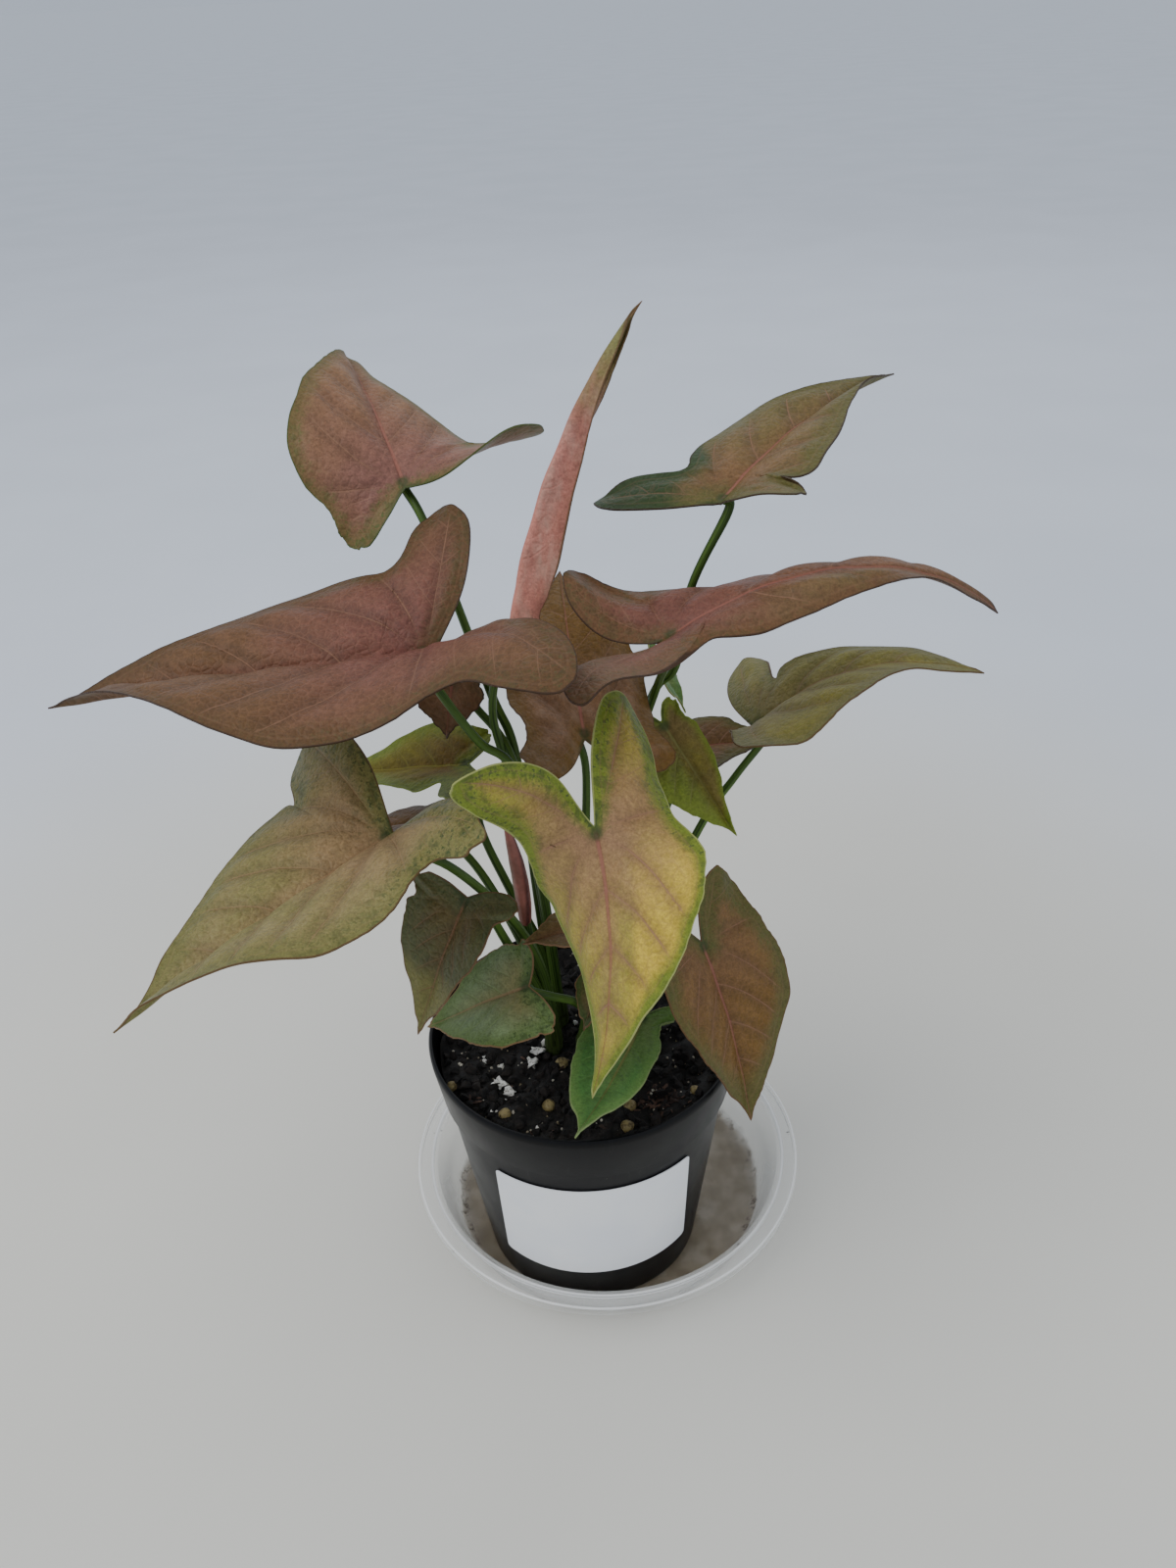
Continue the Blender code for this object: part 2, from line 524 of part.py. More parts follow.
def make_blade(leaf, finish):
    """Rings of points spread from the hub to the margin, the same on both faces of the blade."""
    outline = blade_outline(leaf)
    count = len(outline)
    rings = FINE_RINGS if leaf.length > LARGE_BLADE else COARSE_RINGS
    shares = [(k/rings)**RING_POWER for k in range(1, rings+1)]
    hub = np.array([(HUB*leaf.length, 0.0)])
    flat = np.vstack([hub]+[hub+(outline-hub)*share for share in shares])
    turn = np.arange(count)/count
    calm = 1-np.sin(math.pi*turn)**8         # no waves at the notch, over the stalk
    wave = np.sin(math.tau*2*MARGIN_WAVES*turn+leaf.length)*calm
    lift = np.concatenate([[0.0]]+[MARGIN_WAVE_HEIGHT*leaf.length*share**2*wave for share in shares])
    middle = bend_blade(leaf, flat, lift)
    offset = face_normals(leaf, flat)*BLADE_THICK/2
    bm = bmesh.new()
    faces = [[bm.verts.new(p) for p in stand_blade(leaf, middle+side*offset)*MM] for side in (1, -1)]
    for a, b, c in ring_triangles(count, rings):
        bm.faces.new((faces[0][a], faces[0][b], faces[0][c]))
        bm.faces.new((faces[1][a], faces[1][c], faces[1][b]))
    edge = len(flat)-count
    for i in range(count):
        j = (i+1) % count
        bm.faces.new((faces[0][edge+i], faces[1][edge+i], faces[1][edge+j]))
        bm.faces.new((faces[0][edge+i], faces[1][edge+j], faces[0][edge+j]))
    blade = add_object(leaf.name, mesh_from(bm, leaf.name), finish)
    blade.data.shade_smooth()
    return blade


# Stalks

def smooth_route(points, steps=3):
    """Points on a curve that passes through the given ones, mm."""
    ends = [2*points[0]-points[1]]+points+[2*points[-1]-points[-2]]
    route = []
    for a, b, c, d in zip(ends, ends[1:], ends[2:], ends[3:]):
        for i in range(steps):
            t = i/steps
            route.append(0.5*(2*b+(c-a)*t+(2*a-5*b+4*c-d)*t**2+(3*b-3*c+d-a)*t**3))
    return route+[points[-1]]


def tube(name, route, radii, finish=None):
    """A round solid along a route, with flat ends."""
    curve = bpy.data.curves.new(name, "CURVE")
    curve.dimensions = "3D"
    curve.bevel_depth = MM
    curve.bevel_resolution = STALK_ROUNDING
    curve.use_fill_caps = True
    spline = curve.splines.new("POLY")
    spline.points.add(len(route)-1)
    for point, place, radius in zip(spline.points, route, radii):
        point.co = (*(Vector(place)*MM), 1.0)
        point.radius = radius
    guide = add_object(name+"_route", curve, None)
    shape = guide.evaluated_get(bpy.context.evaluated_depsgraph_get())
    mesh = bpy.data.meshes.new_from_object(shape)
    bpy.data.objects.remove(guide, do_unlink=True)
    mesh.name = name
    return add_object(name, mesh, finish)


def taper(count, foot, neck, end):
    """Radii from a thick foot down to the neck, and a small end that meets the blade."""
    radii = [foot+(neck-foot)*min(1.0, i/(count-1)*1.3) for i in range(count)]
    radii[-1] = end
    return radii


def stem_of(plantlet):
    x, y = STEMS[plantlet]
    heights = (STEM_FOOT, STEM_FOOT+2, SOIL_TOP, STEM_TOP-5, STEM_TOP)
    radii = (STEM_RADIUS-1, STEM_RADIUS, STEM_RADIUS, STEM_RADIUS-0.1, STEM_RADIUS-1.4)
    return tube(f"stalks_{plantlet}", [(x, y, z) for z in heights], radii)


def stalk_route(leaf, start):
    """From inside the stem, through the leaf's own points, and up to the blade's under face."""
    face = Vector(blade_axes(leaf)[2])
    end = Vector(leaf.at)-face*(BLADE_THICK/2+CLEAR+STALK_GAP)
    points = [start, start+Vector((0, 0, STALK_RISE))]+[Vector(p) for p in leaf.stalk]
    points += [end-face*STALK_NECK_RUN, end]
    return smooth_route(points, 3 if leaf.length > LARGE_BLADE else 2)


def make_stalks(plantlet, finish):
    """One plantlet's stem with its leaf stalks, joined in one solid."""
    stem = stem_of(plantlet)
    stem.data.materials.append(finish)
    x, y = STEMS[plantlet]
    branches = group("branches")
    own = [leaf for leaf in LEAVES if leaf.plantlet == plantlet]
    for i, leaf in enumerate(own):
        turn = math.tau*i/len(own)
        start = Vector((x+STALK_SPREAD*math.cos(turn), y+STALK_SPREAD*math.sin(turn),
                        SOIL_TOP+STEM_RADIUS/2+STALK_STAGGER*i))
        route = stalk_route(leaf, start)
        radii = taper(len(route), STALK_FOOT_RADIUS, STALK_NECK_RADIUS, STALK_END_RADIUS)
        into_group(tube(f"stalk_{leaf.name}", route, radii), branches)
    if plantlet == "left_front":
        start = Vector((x, y, SOIL_TOP))+Vector(SPEAR_STALK_OUT)
        points = [start, start+Vector((0, 0, STALK_RISE))]+[Vector(p) for p in SPEAR_STALK]
        points.append(Vector(SPEAR_FOOT)-Vector((0, 0, CLEAR+STALK_GAP)))
        route = smooth_route(points)
        into_group(tube("stalk_spear", route, taper(len(route), *SPEAR_STALK_RADII)), branches)
    boolean_with(stem, branches, "UNION")
    stem.data.shade_smooth()
    return stem


def make_spear(finish):
    """A young leaf still rolled up, swollen in its middle."""
    foot, tip = Vector(SPEAR_FOOT), Vector(SPEAR_TIP)
    bow = Vector((SPEAR_BOW, 0.0, 0.0))
    shares = [0.0, 0.08, 0.22, 0.42, 0.62, 0.8, 0.93, 1.0]
    route = [foot.lerp(tip, t)+bow*math.sin(math.pi*t) for t in shares]
    swell = [0.55, 0.8, 0.97, 1.0, 0.9, 0.65, 0.35, 0.12]
    return tube("spear_new_leaf", route, [SPEAR_RADIUS*s for s in swell], finish)


# Assembly

FINISHES = {
    "clear_plastic": ((0.80, 0.82, 0.82), 0.30, 0.45),
    "black_plastic": ((0.018, 0.018, 0.020), 0.45, 1.0),
    "white_card": ((0.85, 0.87, 0.90), 0.50, 1.0),
    "soil_mix": ((0.012, 0.010, 0.009), 0.95, 1.0),
    "stalk_green": ((0.06, 0.13, 0.03), 0.45, 1.0),
    "spear_pink": ((0.42, 0.17, 0.14), 0.45, 1.0),
    "blade_mauve": ((0.27, 0.13, 0.10), 0.48, 1.0),
    "blade_pink_back": ((0.52, 0.26, 0.22), 0.50, 1.0),
    "blade_olive": ((0.25, 0.20, 0.09), 0.48, 1.0),
    "blade_golden": ((0.42, 0.34, 0.11), 0.48, 1.0),
    "blade_sage": ((0.25, 0.22, 0.13), 0.50, 1.0),
    "blade_dark": ((0.07, 0.065, 0.04), 0.45, 1.0),
    "blade_grey_green": ((0.12, 0.15, 0.09), 0.48, 1.0),
    "blade_green": ((0.07, 0.18, 0.05), 0.45, 1.0),
    "blade_brown": ((0.23, 0.12, 0.07), 0.48, 1.0),
}


def build():
    made = {name: material(name, *look) for name, look in FINISHES.items()}
    make_saucer(made["clear_plastic"])
    make_pot(made["black_plastic"])
    make_label(made["white_card"])
    make_soil(made["soil_mix"], STEMS.values())
    for plantlet in STEMS:
        make_stalks(plantlet, made["stalk_green"])
    for leaf in LEAVES:
        make_blade(leaf, made[leaf.finish])
    make_spear(made["spear_pink"])


build()
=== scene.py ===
# %% [markdown]
# # Arrowhead plant in its nursery pot
# Five young plantlets share one black pot, which stands in a clear saucer. The measured solids give
# every place and size; this lesson dresses them with finer shapes and finishes. Sizes are written in
# millimetres and degrees, as one would measure them on the plant, and turned into metres at the end.

import math
import random
from dataclasses import dataclass

import bpy
import numpy as np
from mathutils import Matrix, Vector, noise


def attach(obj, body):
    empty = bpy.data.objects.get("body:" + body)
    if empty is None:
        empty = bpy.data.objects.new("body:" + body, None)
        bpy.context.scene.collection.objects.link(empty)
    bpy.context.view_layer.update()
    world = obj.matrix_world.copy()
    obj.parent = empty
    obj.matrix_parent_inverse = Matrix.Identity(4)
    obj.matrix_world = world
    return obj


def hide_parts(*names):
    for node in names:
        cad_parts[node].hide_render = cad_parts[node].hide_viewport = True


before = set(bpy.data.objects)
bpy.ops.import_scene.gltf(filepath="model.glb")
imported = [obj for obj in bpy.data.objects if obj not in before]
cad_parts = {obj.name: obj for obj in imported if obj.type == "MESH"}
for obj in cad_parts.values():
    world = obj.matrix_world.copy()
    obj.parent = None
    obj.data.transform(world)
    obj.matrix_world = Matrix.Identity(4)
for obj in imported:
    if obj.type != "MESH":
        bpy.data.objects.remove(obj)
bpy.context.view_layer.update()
MM = 0.001

# %% [markdown]
# ## Camera
# The photo looks down on the pot from in front, held a little crooked. Its lens and place follow from
# how round the pot's rim and the saucer look. A camera looks along its own -Z, so its three axes are
# written as the columns of a matrix.

# %% Set the camera
EYE = (5.5, -332.0, 406.0)
LOOK_DOWN = math.radians(32.2)
CROOKED = math.radians(-2.6)
FOCAL_LENGTH = 29.25         # behind a sensor as long as SENSOR, along the photo's long side
SENSOR = 36.0

ahead = Vector((0, math.cos(LOOK_DOWN), -math.sin(LOOK_DOWN)))
level = Vector((1, 0, 0))
above = Vector((0, math.sin(LOOK_DOWN), math.cos(LOOK_DOWN)))
right = level*math.cos(CROOKED)+above*math.sin(CROOKED)
upward = above*math.cos(CROOKED)-level*math.sin(CROOKED)

bpy.ops.object.select_all(action="DESELECT")
bpy.ops.object.camera_add(location=Vector(EYE)*MM)
camera = bpy.context.object
camera.rotation_euler = Matrix((right, upward, -ahead)).transposed().to_euler()
camera.data.lens = FOCAL_LENGTH
camera.data.sensor_width = SENSOR
camera.data.clip_start = 0.01
bpy.context.scene.camera = camera
print("camera at", tuple(camera.location))

# %% [markdown]
# ## A short way to write finishes
# Every finish here is a tree of nodes that works out its colour from where a point lies. A small class
# keeps the writing short: each call adds one node, feeds it and hands back its output.

# %% Write the helper for finishes
def paint(red, green, blue):
    """A colour as it reads on a screen, 0 to 255, in the linear numbers that a shader takes."""
    shares = (red/255, green/255, blue/255)
    return tuple(s/12.92 if s <= 0.04045 else ((s+0.055)/1.055)**2.4 for s in shares)


class Finish:
    """A material with short calls that add nodes to its tree."""

    def __init__(self, name, roughness=0.5):
        self.material = bpy.data.materials.new(name)
        self.material.use_nodes = True
        self.tree = self.material.node_tree
        self.shader = self.tree.nodes["Principled BSDF"]
        self.shader.inputs["Roughness"].default_value = roughness

    def feed(self, socket, value):
        if isinstance(value, bpy.types.NodeSocket):
            self.tree.links.new(value, socket)
        elif socket.type == "RGBA":
            socket.default_value = (*value, 1.0)
        else:
            socket.default_value = value

    def node(self, kind, feeds, **settings):
        made = self.tree.nodes.new("ShaderNode"+kind)
        for key, value in settings.items():
            setattr(made, key, value)
        for key, value in feeds.items():
            self.feed(made.inputs[key], value)
        return made

    def maths(self, operation, *values):
        return self.node("Math", dict(enumerate(values)), operation=operation).outputs[0]

    def times(self, first, second):
        return self.maths("MULTIPLY", first, second)

    def plus(self, first, second):
        return self.maths("ADD", first, second)

    def most(self, first, second):
        return self.maths("MAXIMUM", first, second)

    def size(self, value):
        return self.maths("ABSOLUTE", value)

    def distance(self, along, aside):
        return self.maths("SQRT", self.plus(self.times(along, along), self.times(aside, aside)))

    def sway(self, noise_value, reach):
        """A shift to either side that follows a noise value."""
        return self.times(self.plus(noise_value, -0.5), reach)

    def parts(self, vector):
        return self.node("SeparateXYZ", {0: vector}).outputs

    def step(self, value, start, end, low=0.0, high=1.0):
        """Rise smoothly from low to high while value goes from start to end."""
        feeds = {0: value, 1: start, 2: end, 3: low, 4: high}
        return self.node("MapRange", feeds, interpolation_type="SMOOTHSTEP").outputs[0]

    def blend(self, share, first, second, way="MIX"):
        feeds = {0: share, 6: first, 7: second}
        return self.node("Mix", feeds, data_type="RGBA", blend_type=way).outputs[2]

    def place(self):
        return self.node("TexCoord", {}).outputs["Object"]

    def grain(self, size, detail=2.0, rough=0.5, stretch=(1, 1, 1), field=None):
        """Noise whose blotches are about size millimetres across."""
        source = self.place() if field is None else field
        if stretch != (1, 1, 1):
            source = self.node("Mapping", {"Vector": source, "Scale": stretch}).outputs[0]
        feeds = {"Vector": source, "Scale": 1/(size*MM), "Detail": detail, "Roughness": rough}
        return self.node("TexNoise", feeds).outputs["Fac"]

    def cells(self, size, feature="F1", result="Distance"):
        feeds = {"Vector": self.place(), "Scale": 1/(size*MM)}
        return self.node("TexVoronoi", feeds, feature=feature).outputs[result]

    def stored(self, name):
        """The three numbers that a piece's points carry under a name."""
        return self.parts(self.node("Attribute", {}, attribute_name=name).outputs["Vector"])

    def shade(self, colour, gain):
        """A colour made brighter or darker by a gain."""
        grey = self.node("CombineXYZ", {0: gain, 1: gain, 2: gain}).outputs[0]
        return self.blend(1.0, colour, grey, "MULTIPLY")

    def tone(self, colour, amount, value):
        """Brighten and darken a colour by a noise value round a half."""
        return self.shade(colour, self.step(value, 0.25, 0.75, 1-amount, 1+amount))

    def relief(self, height, depth, strength=1.0):
        """Bump whose full height is depth millimetres."""
        feeds = {"Height": height, "Distance": depth*MM, "Strength": strength}
        self.feed(self.shader.inputs["Normal"], self.node("Bump", feeds).outputs[0])

    def done(self, colour, roughness=None, **values):
        self.feed(self.shader.inputs["Base Color"], colour)
        if roughness is not None:
            self.feed(self.shader.inputs["Roughness"], roughness)
        for name, value in values.items():
            self.feed(self.shader.inputs[name.replace("_", " ")], value)
        return self.material


print("a finish starts with", len(Finish("trial").tree.nodes), "nodes")
bpy.data.materials.remove(bpy.data.materials["trial"])

# %% [markdown]
# ## Floor and light
# The plant stands on a pale, creamy floor in soft daylight from the left. The floor turns cooler away
# from the pot, and its far edge rises a little, so that no sky shows over it and no wall hides the
# plant from behind. Small lamps would throw hard shadows, so the lights are big areas.

# %% Lay the floor
FLOOR_REACH = 100.0          # metres to its edge all round
FLOOR_RISE = 8.0             # metres that its far edge rises
FLOOR_FLARE = 1.5            # how much wider it is at the top of that rise
FLOOR_DROP = 0.0004          # metres under the saucer, so that their faces never mix
COOL_FROM = 0.25             # metres from the pot, where it starts to turn cooler
COOL_TO = 0.60

bpy.ops.object.select_all(action="DESELECT")
bpy.ops.mesh.primitive_circle_add(vertices=96, radius=FLOOR_REACH, fill_type="NGON",
                                  location=(0, 0, -FLOOR_DROP))
floor = bpy.context.object
bpy.ops.object.mode_set(mode="EDIT")
bpy.ops.mesh.select_all(action="SELECT")
bpy.ops.mesh.region_to_loop()
bpy.ops.mesh.extrude_edges_move(TRANSFORM_OT_translate={"value": (0, 0, FLOOR_RISE)})
bpy.ops.transform.resize(value=(FLOOR_FLARE, FLOOR_FLARE, 1))
bpy.ops.object.mode_set(mode="OBJECT")
floor.name = "floor"
ground = Finish("pale_floor", 0.85)
away = ground.node("VectorMath", {0: ground.place()}, operation="LENGTH").outputs["Value"]
tint = ground.blend(ground.step(away, COOL_FROM, COOL_TO), paint(226, 224, 216), paint(222, 228, 238))
tint = ground.tone(tint, 0.02, ground.grain(160, 2))
ground.relief(ground.grain(90, 1), 1.5, 0.3)
floor.data.materials.append(ground.done(tint))
print("floor", 2*FLOOR_REACH, "m wide")

# %% Hang the lights
def area_light(name, place, target, size, power, colour):
    """A square lamp that faces a target."""
    bpy.ops.object.light_add(type="AREA", location=place)
    lamp = bpy.context.object
    lamp.name = name
    lamp.data.size = size
    lamp.data.energy = power
    lamp.data.color = colour
    lamp.rotation_euler = (Vector(target)-Vector(place)).to_track_quat("-Z", "Y").to_euler()


AIM = (0.0, 0.0, 0.16)
area_light("window", (-0.9, -0.5, 1.5), AIM, 1.3, 13.0, (1.0, 0.985, 0.96))
area_light("room", (1.3, -0.9, 1.0), AIM, 1.6, 3.0, (1.0, 0.98, 0.96))
area_light("behind", (0.3, 1.5, 1.3), AIM, 1.5, 3.0, (0.95, 0.98, 1.0))

sky = bpy.data.worlds.new("soft_sky")
sky.use_nodes = True
sky.node_tree.nodes["Background"].inputs["Color"].default_value = (*paint(214, 220, 228), 1.0)
sky.node_tree.nodes["Background"].inputs["Strength"].default_value = 0.95
bpy.context.scene.world = sky

# %% [markdown]
# ## Two ways to make a piece
# A turned thing, such as a pot, starts as a circle that is extruded and resized ring by ring along its
# profile. A grown thing, such as a leaf or a stalk, starts as a grid whose points are moved to places
# that a formula gives for u (across) and v (along), both from 0 to 1.

# %% Write the helpers for points and steps
def deselect():
    bpy.ops.object.select_all(action="DESELECT")


def read_points(piece):
    flat = np.empty(3*len(piece.data.vertices))
    piece.data.vertices.foreach_get("co", flat)
    return flat.reshape(-1, 3)


def write_points(piece, points):
    piece.data.vertices.foreach_set("co", np.asarray(points, dtype=float).ravel())
    piece.data.update()


def store(piece, name, values):
    """Give every point three numbers that a finish can read."""
    field = piece.data.attributes.new(name, "FLOAT_VECTOR", "POINT")
    field.data.foreach_set("vector", np.asarray(values, dtype=float).ravel())


def placed_grid(name, columns, rows, place):
    """A grid whose points stand at place(u, v), in millimetres."""
    deselect()
    bpy.ops.mesh.primitive_grid_add(x_subdivisions=columns, y_subdivisions=rows, size=1.0, calc_uvs=True)
    piece = bpy.context.object
    piece.name = piece.data.name = name
    square = read_points(piece)
    write_points(piece, place(square[:, 0]+0.5, square[:, 1]+0.5)*MM)
    return piece


def join_seams(piece, turn_out=True):
    """Merge the points that meet, and face a closed shape outwards."""
    bpy.context.view_layer.objects.active = piece
    bpy.ops.object.mode_set(mode="EDIT")
    bpy.ops.mesh.select_all(action="SELECT")
    bpy.ops.mesh.remove_doubles(threshold=1e-6)
    if turn_out:
        bpy.ops.mesh.normals_make_consistent(inside=False)
    bpy.ops.object.mode_set(mode="OBJECT")


def only(piece):
    deselect()
    piece.select_set(True)
    bpy.context.view_layer.objects.active = piece


def apply_step(piece, kind, **settings):
    """Add a modifier, set it and apply it."""
    only(piece)
    step = piece.modifiers.new(kind.lower(), kind)
    for key, value in settings.items():
        setattr(step, key, value)
    bpy.ops.object.modifier_apply(modifier=step.name)


def bevel(piece, width, angle):
    """Round every edge that is sharper than an angle."""
    apply_step(piece, "BEVEL", width=width*MM, segments=2, limit_method="ANGLE",
               angle_limit=math.radians(angle))


def smooth(piece, angle=40):
    only(piece)
    bpy.ops.object.shade_smooth_by_angle(angle=math.radians(angle))


print("helpers for points, seams and modifiers ready")

# %% Write the helpers for whole pieces
def joined(name, pieces):
    """One object from many."""
    deselect()
    for piece in pieces:
        piece.select_set(True)
    bpy.context.view_layer.objects.active = pieces[0]
    bpy.ops.object.join()
    whole = bpy.context.object
    whole.name = whole.data.name = name
    return whole


def hand_over(piece, slot, node, *finishes):
    """Dress a piece, and hide the solid that it stands for."""
    piece.data.materials.clear()
    for finish in finishes:
        piece.data.materials.append(finish)
    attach(piece, "root")
    if node:
        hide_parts(node)
    triangles = sum(len(face.vertices)-2 for face in piece.data.polygons)
    print(f"{piece.name}: {triangles} triangles")


def turned(name, profile, sides, centre=(0.0, 0.0)):
    """Extrude and resize a circle along a profile of (radius, height), from axis to axis."""
    deselect()
    middle = Vector((centre[0]*MM, centre[1]*MM, 0))
    radius, height = profile[0]
    bpy.ops.mesh.primitive_circle_add(vertices=sides, radius=radius*MM, fill_type="TRIFAN",
                                      location=middle+Vector((0, 0, height*MM)))
    piece = bpy.context.object
    piece.name = piece.data.name = name
    bpy.ops.object.mode_set(mode="EDIT")
    bpy.ops.mesh.select_all(action="SELECT")
    bpy.ops.mesh.region_to_loop()
    for wide, high in profile[1:]:
        bpy.ops.mesh.extrude_edges_move(TRANSFORM_OT_translate={"value": (0, 0, (high-height)*MM)})
        bpy.ops.transform.resize(value=(wide/radius, wide/radius, 1), center_override=middle)
        radius, height = wide, high
    bpy.ops.mesh.merge(type="CENTER")
    bpy.ops.object.mode_set(mode="OBJECT")
    bpy.ops.object.transform_apply(location=True, rotation=True, scale=True)
    join_seams(piece)
    return piece


print("helpers for joining, dressing and turning ready")

# %% [markdown]
# ## Pot
# A thin moulded pot of black plastic: a tapered body, a proud band round the rim, a floor that stands
# on a ring, and drain holes. A cone with Solidify would be quicker, but its wall would miss the band and
# the ring, so both faces are turned in one profile. Cylinders cut the holes, and a small bevel gives the
# moulded edges the thin highlights that black plastic lives by.

# %% Turn the pot
POT_FOOT = 1.5
POT_BASE = 39.5
POT_RIM = 54.0
POT_TOP = 98.0
BAND_FOOT = 78.0
BAND_STEP = 1.6
POT_WALL = 1.3
POT_RING = 4.0               # width of the ring that it stands on
POT_LIFT = 2.5               # of its floor over that ring
POT_ROUND = 0.8
POT_HUB = 6.0                # radius of the first ring round the middle of its floor
POT_SLOPE = (POT_RIM-BAND_STEP-POT_BASE)/(POT_TOP-POT_FOOT)
POT_SIDES = 128
HOLES = 6
HOLE_RADIUS = 4.0
HOLE_CIRCLE = 27.0           # radius of the circle that they lie on
HOLE_DEPTH = 8.0


def pot_radius(z):
    return POT_BASE+POT_SLOPE*(z-POT_FOOT)


ring = POT_BASE-POT_RING
waist = pot_radius(BAND_FOOT)
pot_floor = POT_FOOT+POT_LIFT
outside = [(POT_HUB, pot_floor), (ring-POT_ROUND, pot_floor), (ring, POT_FOOT),
           (POT_BASE-POT_ROUND, POT_FOOT), (POT_BASE, POT_FOOT+POT_ROUND),
           (pot_radius(30), 30), (pot_radius(55), 55), (waist, BAND_FOOT),
           (waist+BAND_STEP, BAND_FOOT+POT_ROUND), (POT_RIM-0.15, POT_TOP-3), (POT_RIM, POT_TOP-0.9),
           (POT_RIM-0.5, POT_TOP)]
inside = [(POT_RIM-POT_WALL, POT_TOP-0.1), (waist-POT_WALL+BAND_STEP, BAND_FOOT+2.4),
          (waist-POT_WALL, BAND_FOOT+0.8), (pot_radius(pot_floor+POT_WALL)-POT_WALL, pot_floor+POT_WALL),
          (POT_HUB, pot_floor+POT_WALL)]
pot = turned("nursery_pot", outside+inside, POT_SIDES)

for i in range(HOLES):
    turn = math.tau*(i+0.5)/HOLES
    centre = Vector((HOLE_CIRCLE*math.cos(turn), HOLE_CIRCLE*math.sin(turn), pot_floor))*MM
    deselect()
    bpy.ops.mesh.primitive_cylinder_add(vertices=24, radius=HOLE_RADIUS*MM, depth=HOLE_DEPTH*MM,
                                        location=centre)
    drill = bpy.context.object
    apply_step(pot, "BOOLEAN", object=drill, operation="DIFFERENCE", solver="EXACT")
    bpy.data.objects.remove(drill, do_unlink=True)
bevel(pot, 0.25, 35)
smooth(pot, 35)

# %% Finish the pot
plastic = Finish("satin_black_plastic")
haze = plastic.grain(38, 4, 0.6)
scuff = plastic.step(plastic.grain(2.6, 3, 0.7, (1, 1, 0.12)), 0.60, 0.78)
dust = plastic.step(plastic.grain(1.1, 2, 0.6), 0.74, 0.80)
black = plastic.blend(plastic.step(haze, 0.35, 0.75), paint(9, 9, 11), paint(17, 17, 20))
black = plastic.blend(plastic.times(scuff, 0.14), black, paint(84, 84, 84))
black = plastic.blend(plastic.times(dust, 0.5), black, paint(130, 126, 118))
plastic.relief(plastic.grain(0.9, 2), 0.05, 0.35)
hand_over(pot, "black_plastic", "pot", plastic.done(
    black, plastic.step(haze, 0.3, 0.7, 0.28, 0.42), Specular_IOR_Level=0.16))

# %% [markdown]
# ## Saucer
# A clear plastic dish with a lip whose edge turns down, turned like the pot. It has held water: a beige
# film with brown flecks along its tide line lies on its floor where the pot doesn't cover it. A glass
# shader would need long renders, and such thin plastic hardly bends light, so the finish lets most of
# it straight through and grows denser where a wall is seen edge on.

# %% Turn the saucer
SAUCER_CENTRE = (6.4, 13.9)
LIP_EDGE = 73.5
LIP_INNER = 65.8
DISH_FLOOR = 59.0
DISH_TOP = 22.0
DISH_WALL = 1.2
DISH_HUB = 20.0              # radius of the first ring round its middle
LIP_DROP = 3.0
TIDE_START = 59.0            # from the saucer's centre, where the brown tide line starts
FILM_END = 65.7              # and where the dried film ends
FILM_FADE = 2.5              # how gently either does
# Two thin white lines are painted round the lip where it bends: painted highlights.
LIP_HIGHLIGHT_LINES = ((67.8, 0.7, 0.3), (72.9, 0.6, 0.2))   # radius, and where each fades out and is full

dish_under = [(DISH_HUB, 0), (DISH_FLOOR-2.5, 0), (DISH_FLOOR-0.9, 0.5),
              (DISH_FLOOR+0.6, DISH_WALL+0.8),
              (DISH_FLOOR+4.2, 12), (LIP_INNER+0.6, DISH_TOP-DISH_WALL-1.2),
              (LIP_INNER+DISH_WALL+1.2, DISH_TOP-DISH_WALL), (LIP_EDGE-DISH_WALL, DISH_TOP-DISH_WALL),
              (LIP_EDGE-DISH_WALL, DISH_TOP-LIP_DROP)]
dish_above = [(LIP_EDGE, DISH_TOP-LIP_DROP), (LIP_EDGE, DISH_TOP-0.8), (LIP_EDGE-0.25, DISH_TOP-0.2),
              (LIP_EDGE-0.8, DISH_TOP), (LIP_INNER+DISH_WALL+0.6, DISH_TOP), (LIP_INNER, DISH_TOP-0.5),
              (LIP_INNER-0.6, DISH_TOP-1.3), (DISH_FLOOR+2.8, 12), (DISH_FLOOR-0.6, DISH_WALL+1.2),
              (DISH_FLOOR-1.6, DISH_WALL+0.35), (DISH_FLOOR-2.8, DISH_WALL),
              (DISH_HUB, DISH_WALL)]
saucer = turned("clear_saucer", dish_under+dish_above, 144, SAUCER_CENTRE)
bevel(saucer, 0.2, 40)
smooth(saucer, 35)

# %% Finish the saucer
clear = Finish("clouded_clear_plastic")
centre = (-SAUCER_CENTRE[0]*MM, -SAUCER_CENTRE[1]*MM, 0)
sides = clear.parts(clear.node("Mapping", {"Vector": clear.place(), "Location": centre}).outputs[0])
reach = clear.distance(sides[0], sides[1])
wander = clear.grain(24, 4, 0.6)
spill = clear.grain(9, 5, 0.65)
tide = clear.plus(reach, clear.times(wander, 0.010))
film_end = FILM_END*MM
fade = FILM_FADE*MM
line = clear.times(clear.step(tide, TIDE_START*MM, TIDE_START*MM+fade),
                   clear.step(tide, film_end, film_end-fade))
dirt = clear.times(clear.step(tide, film_end, film_end-1.2*fade), clear.step(spill, 0.30, 0.66, 0.75, 1.0))
flecks = clear.times(line, clear.step(clear.grain(3.4, 4, 0.75), 0.44, 0.68))
low = clear.step(sides[2], 0.006, 0.002)
marks = clear.times(low, clear.most(clear.times(dirt, 0.42), clear.times(flecks, 0.72)))
lip = clear.step(sides[2], 0.0205, 0.0215)
specks = clear.times(lip, clear.step(clear.grain(3.4, 2, 0.6), 0.71, 0.75))
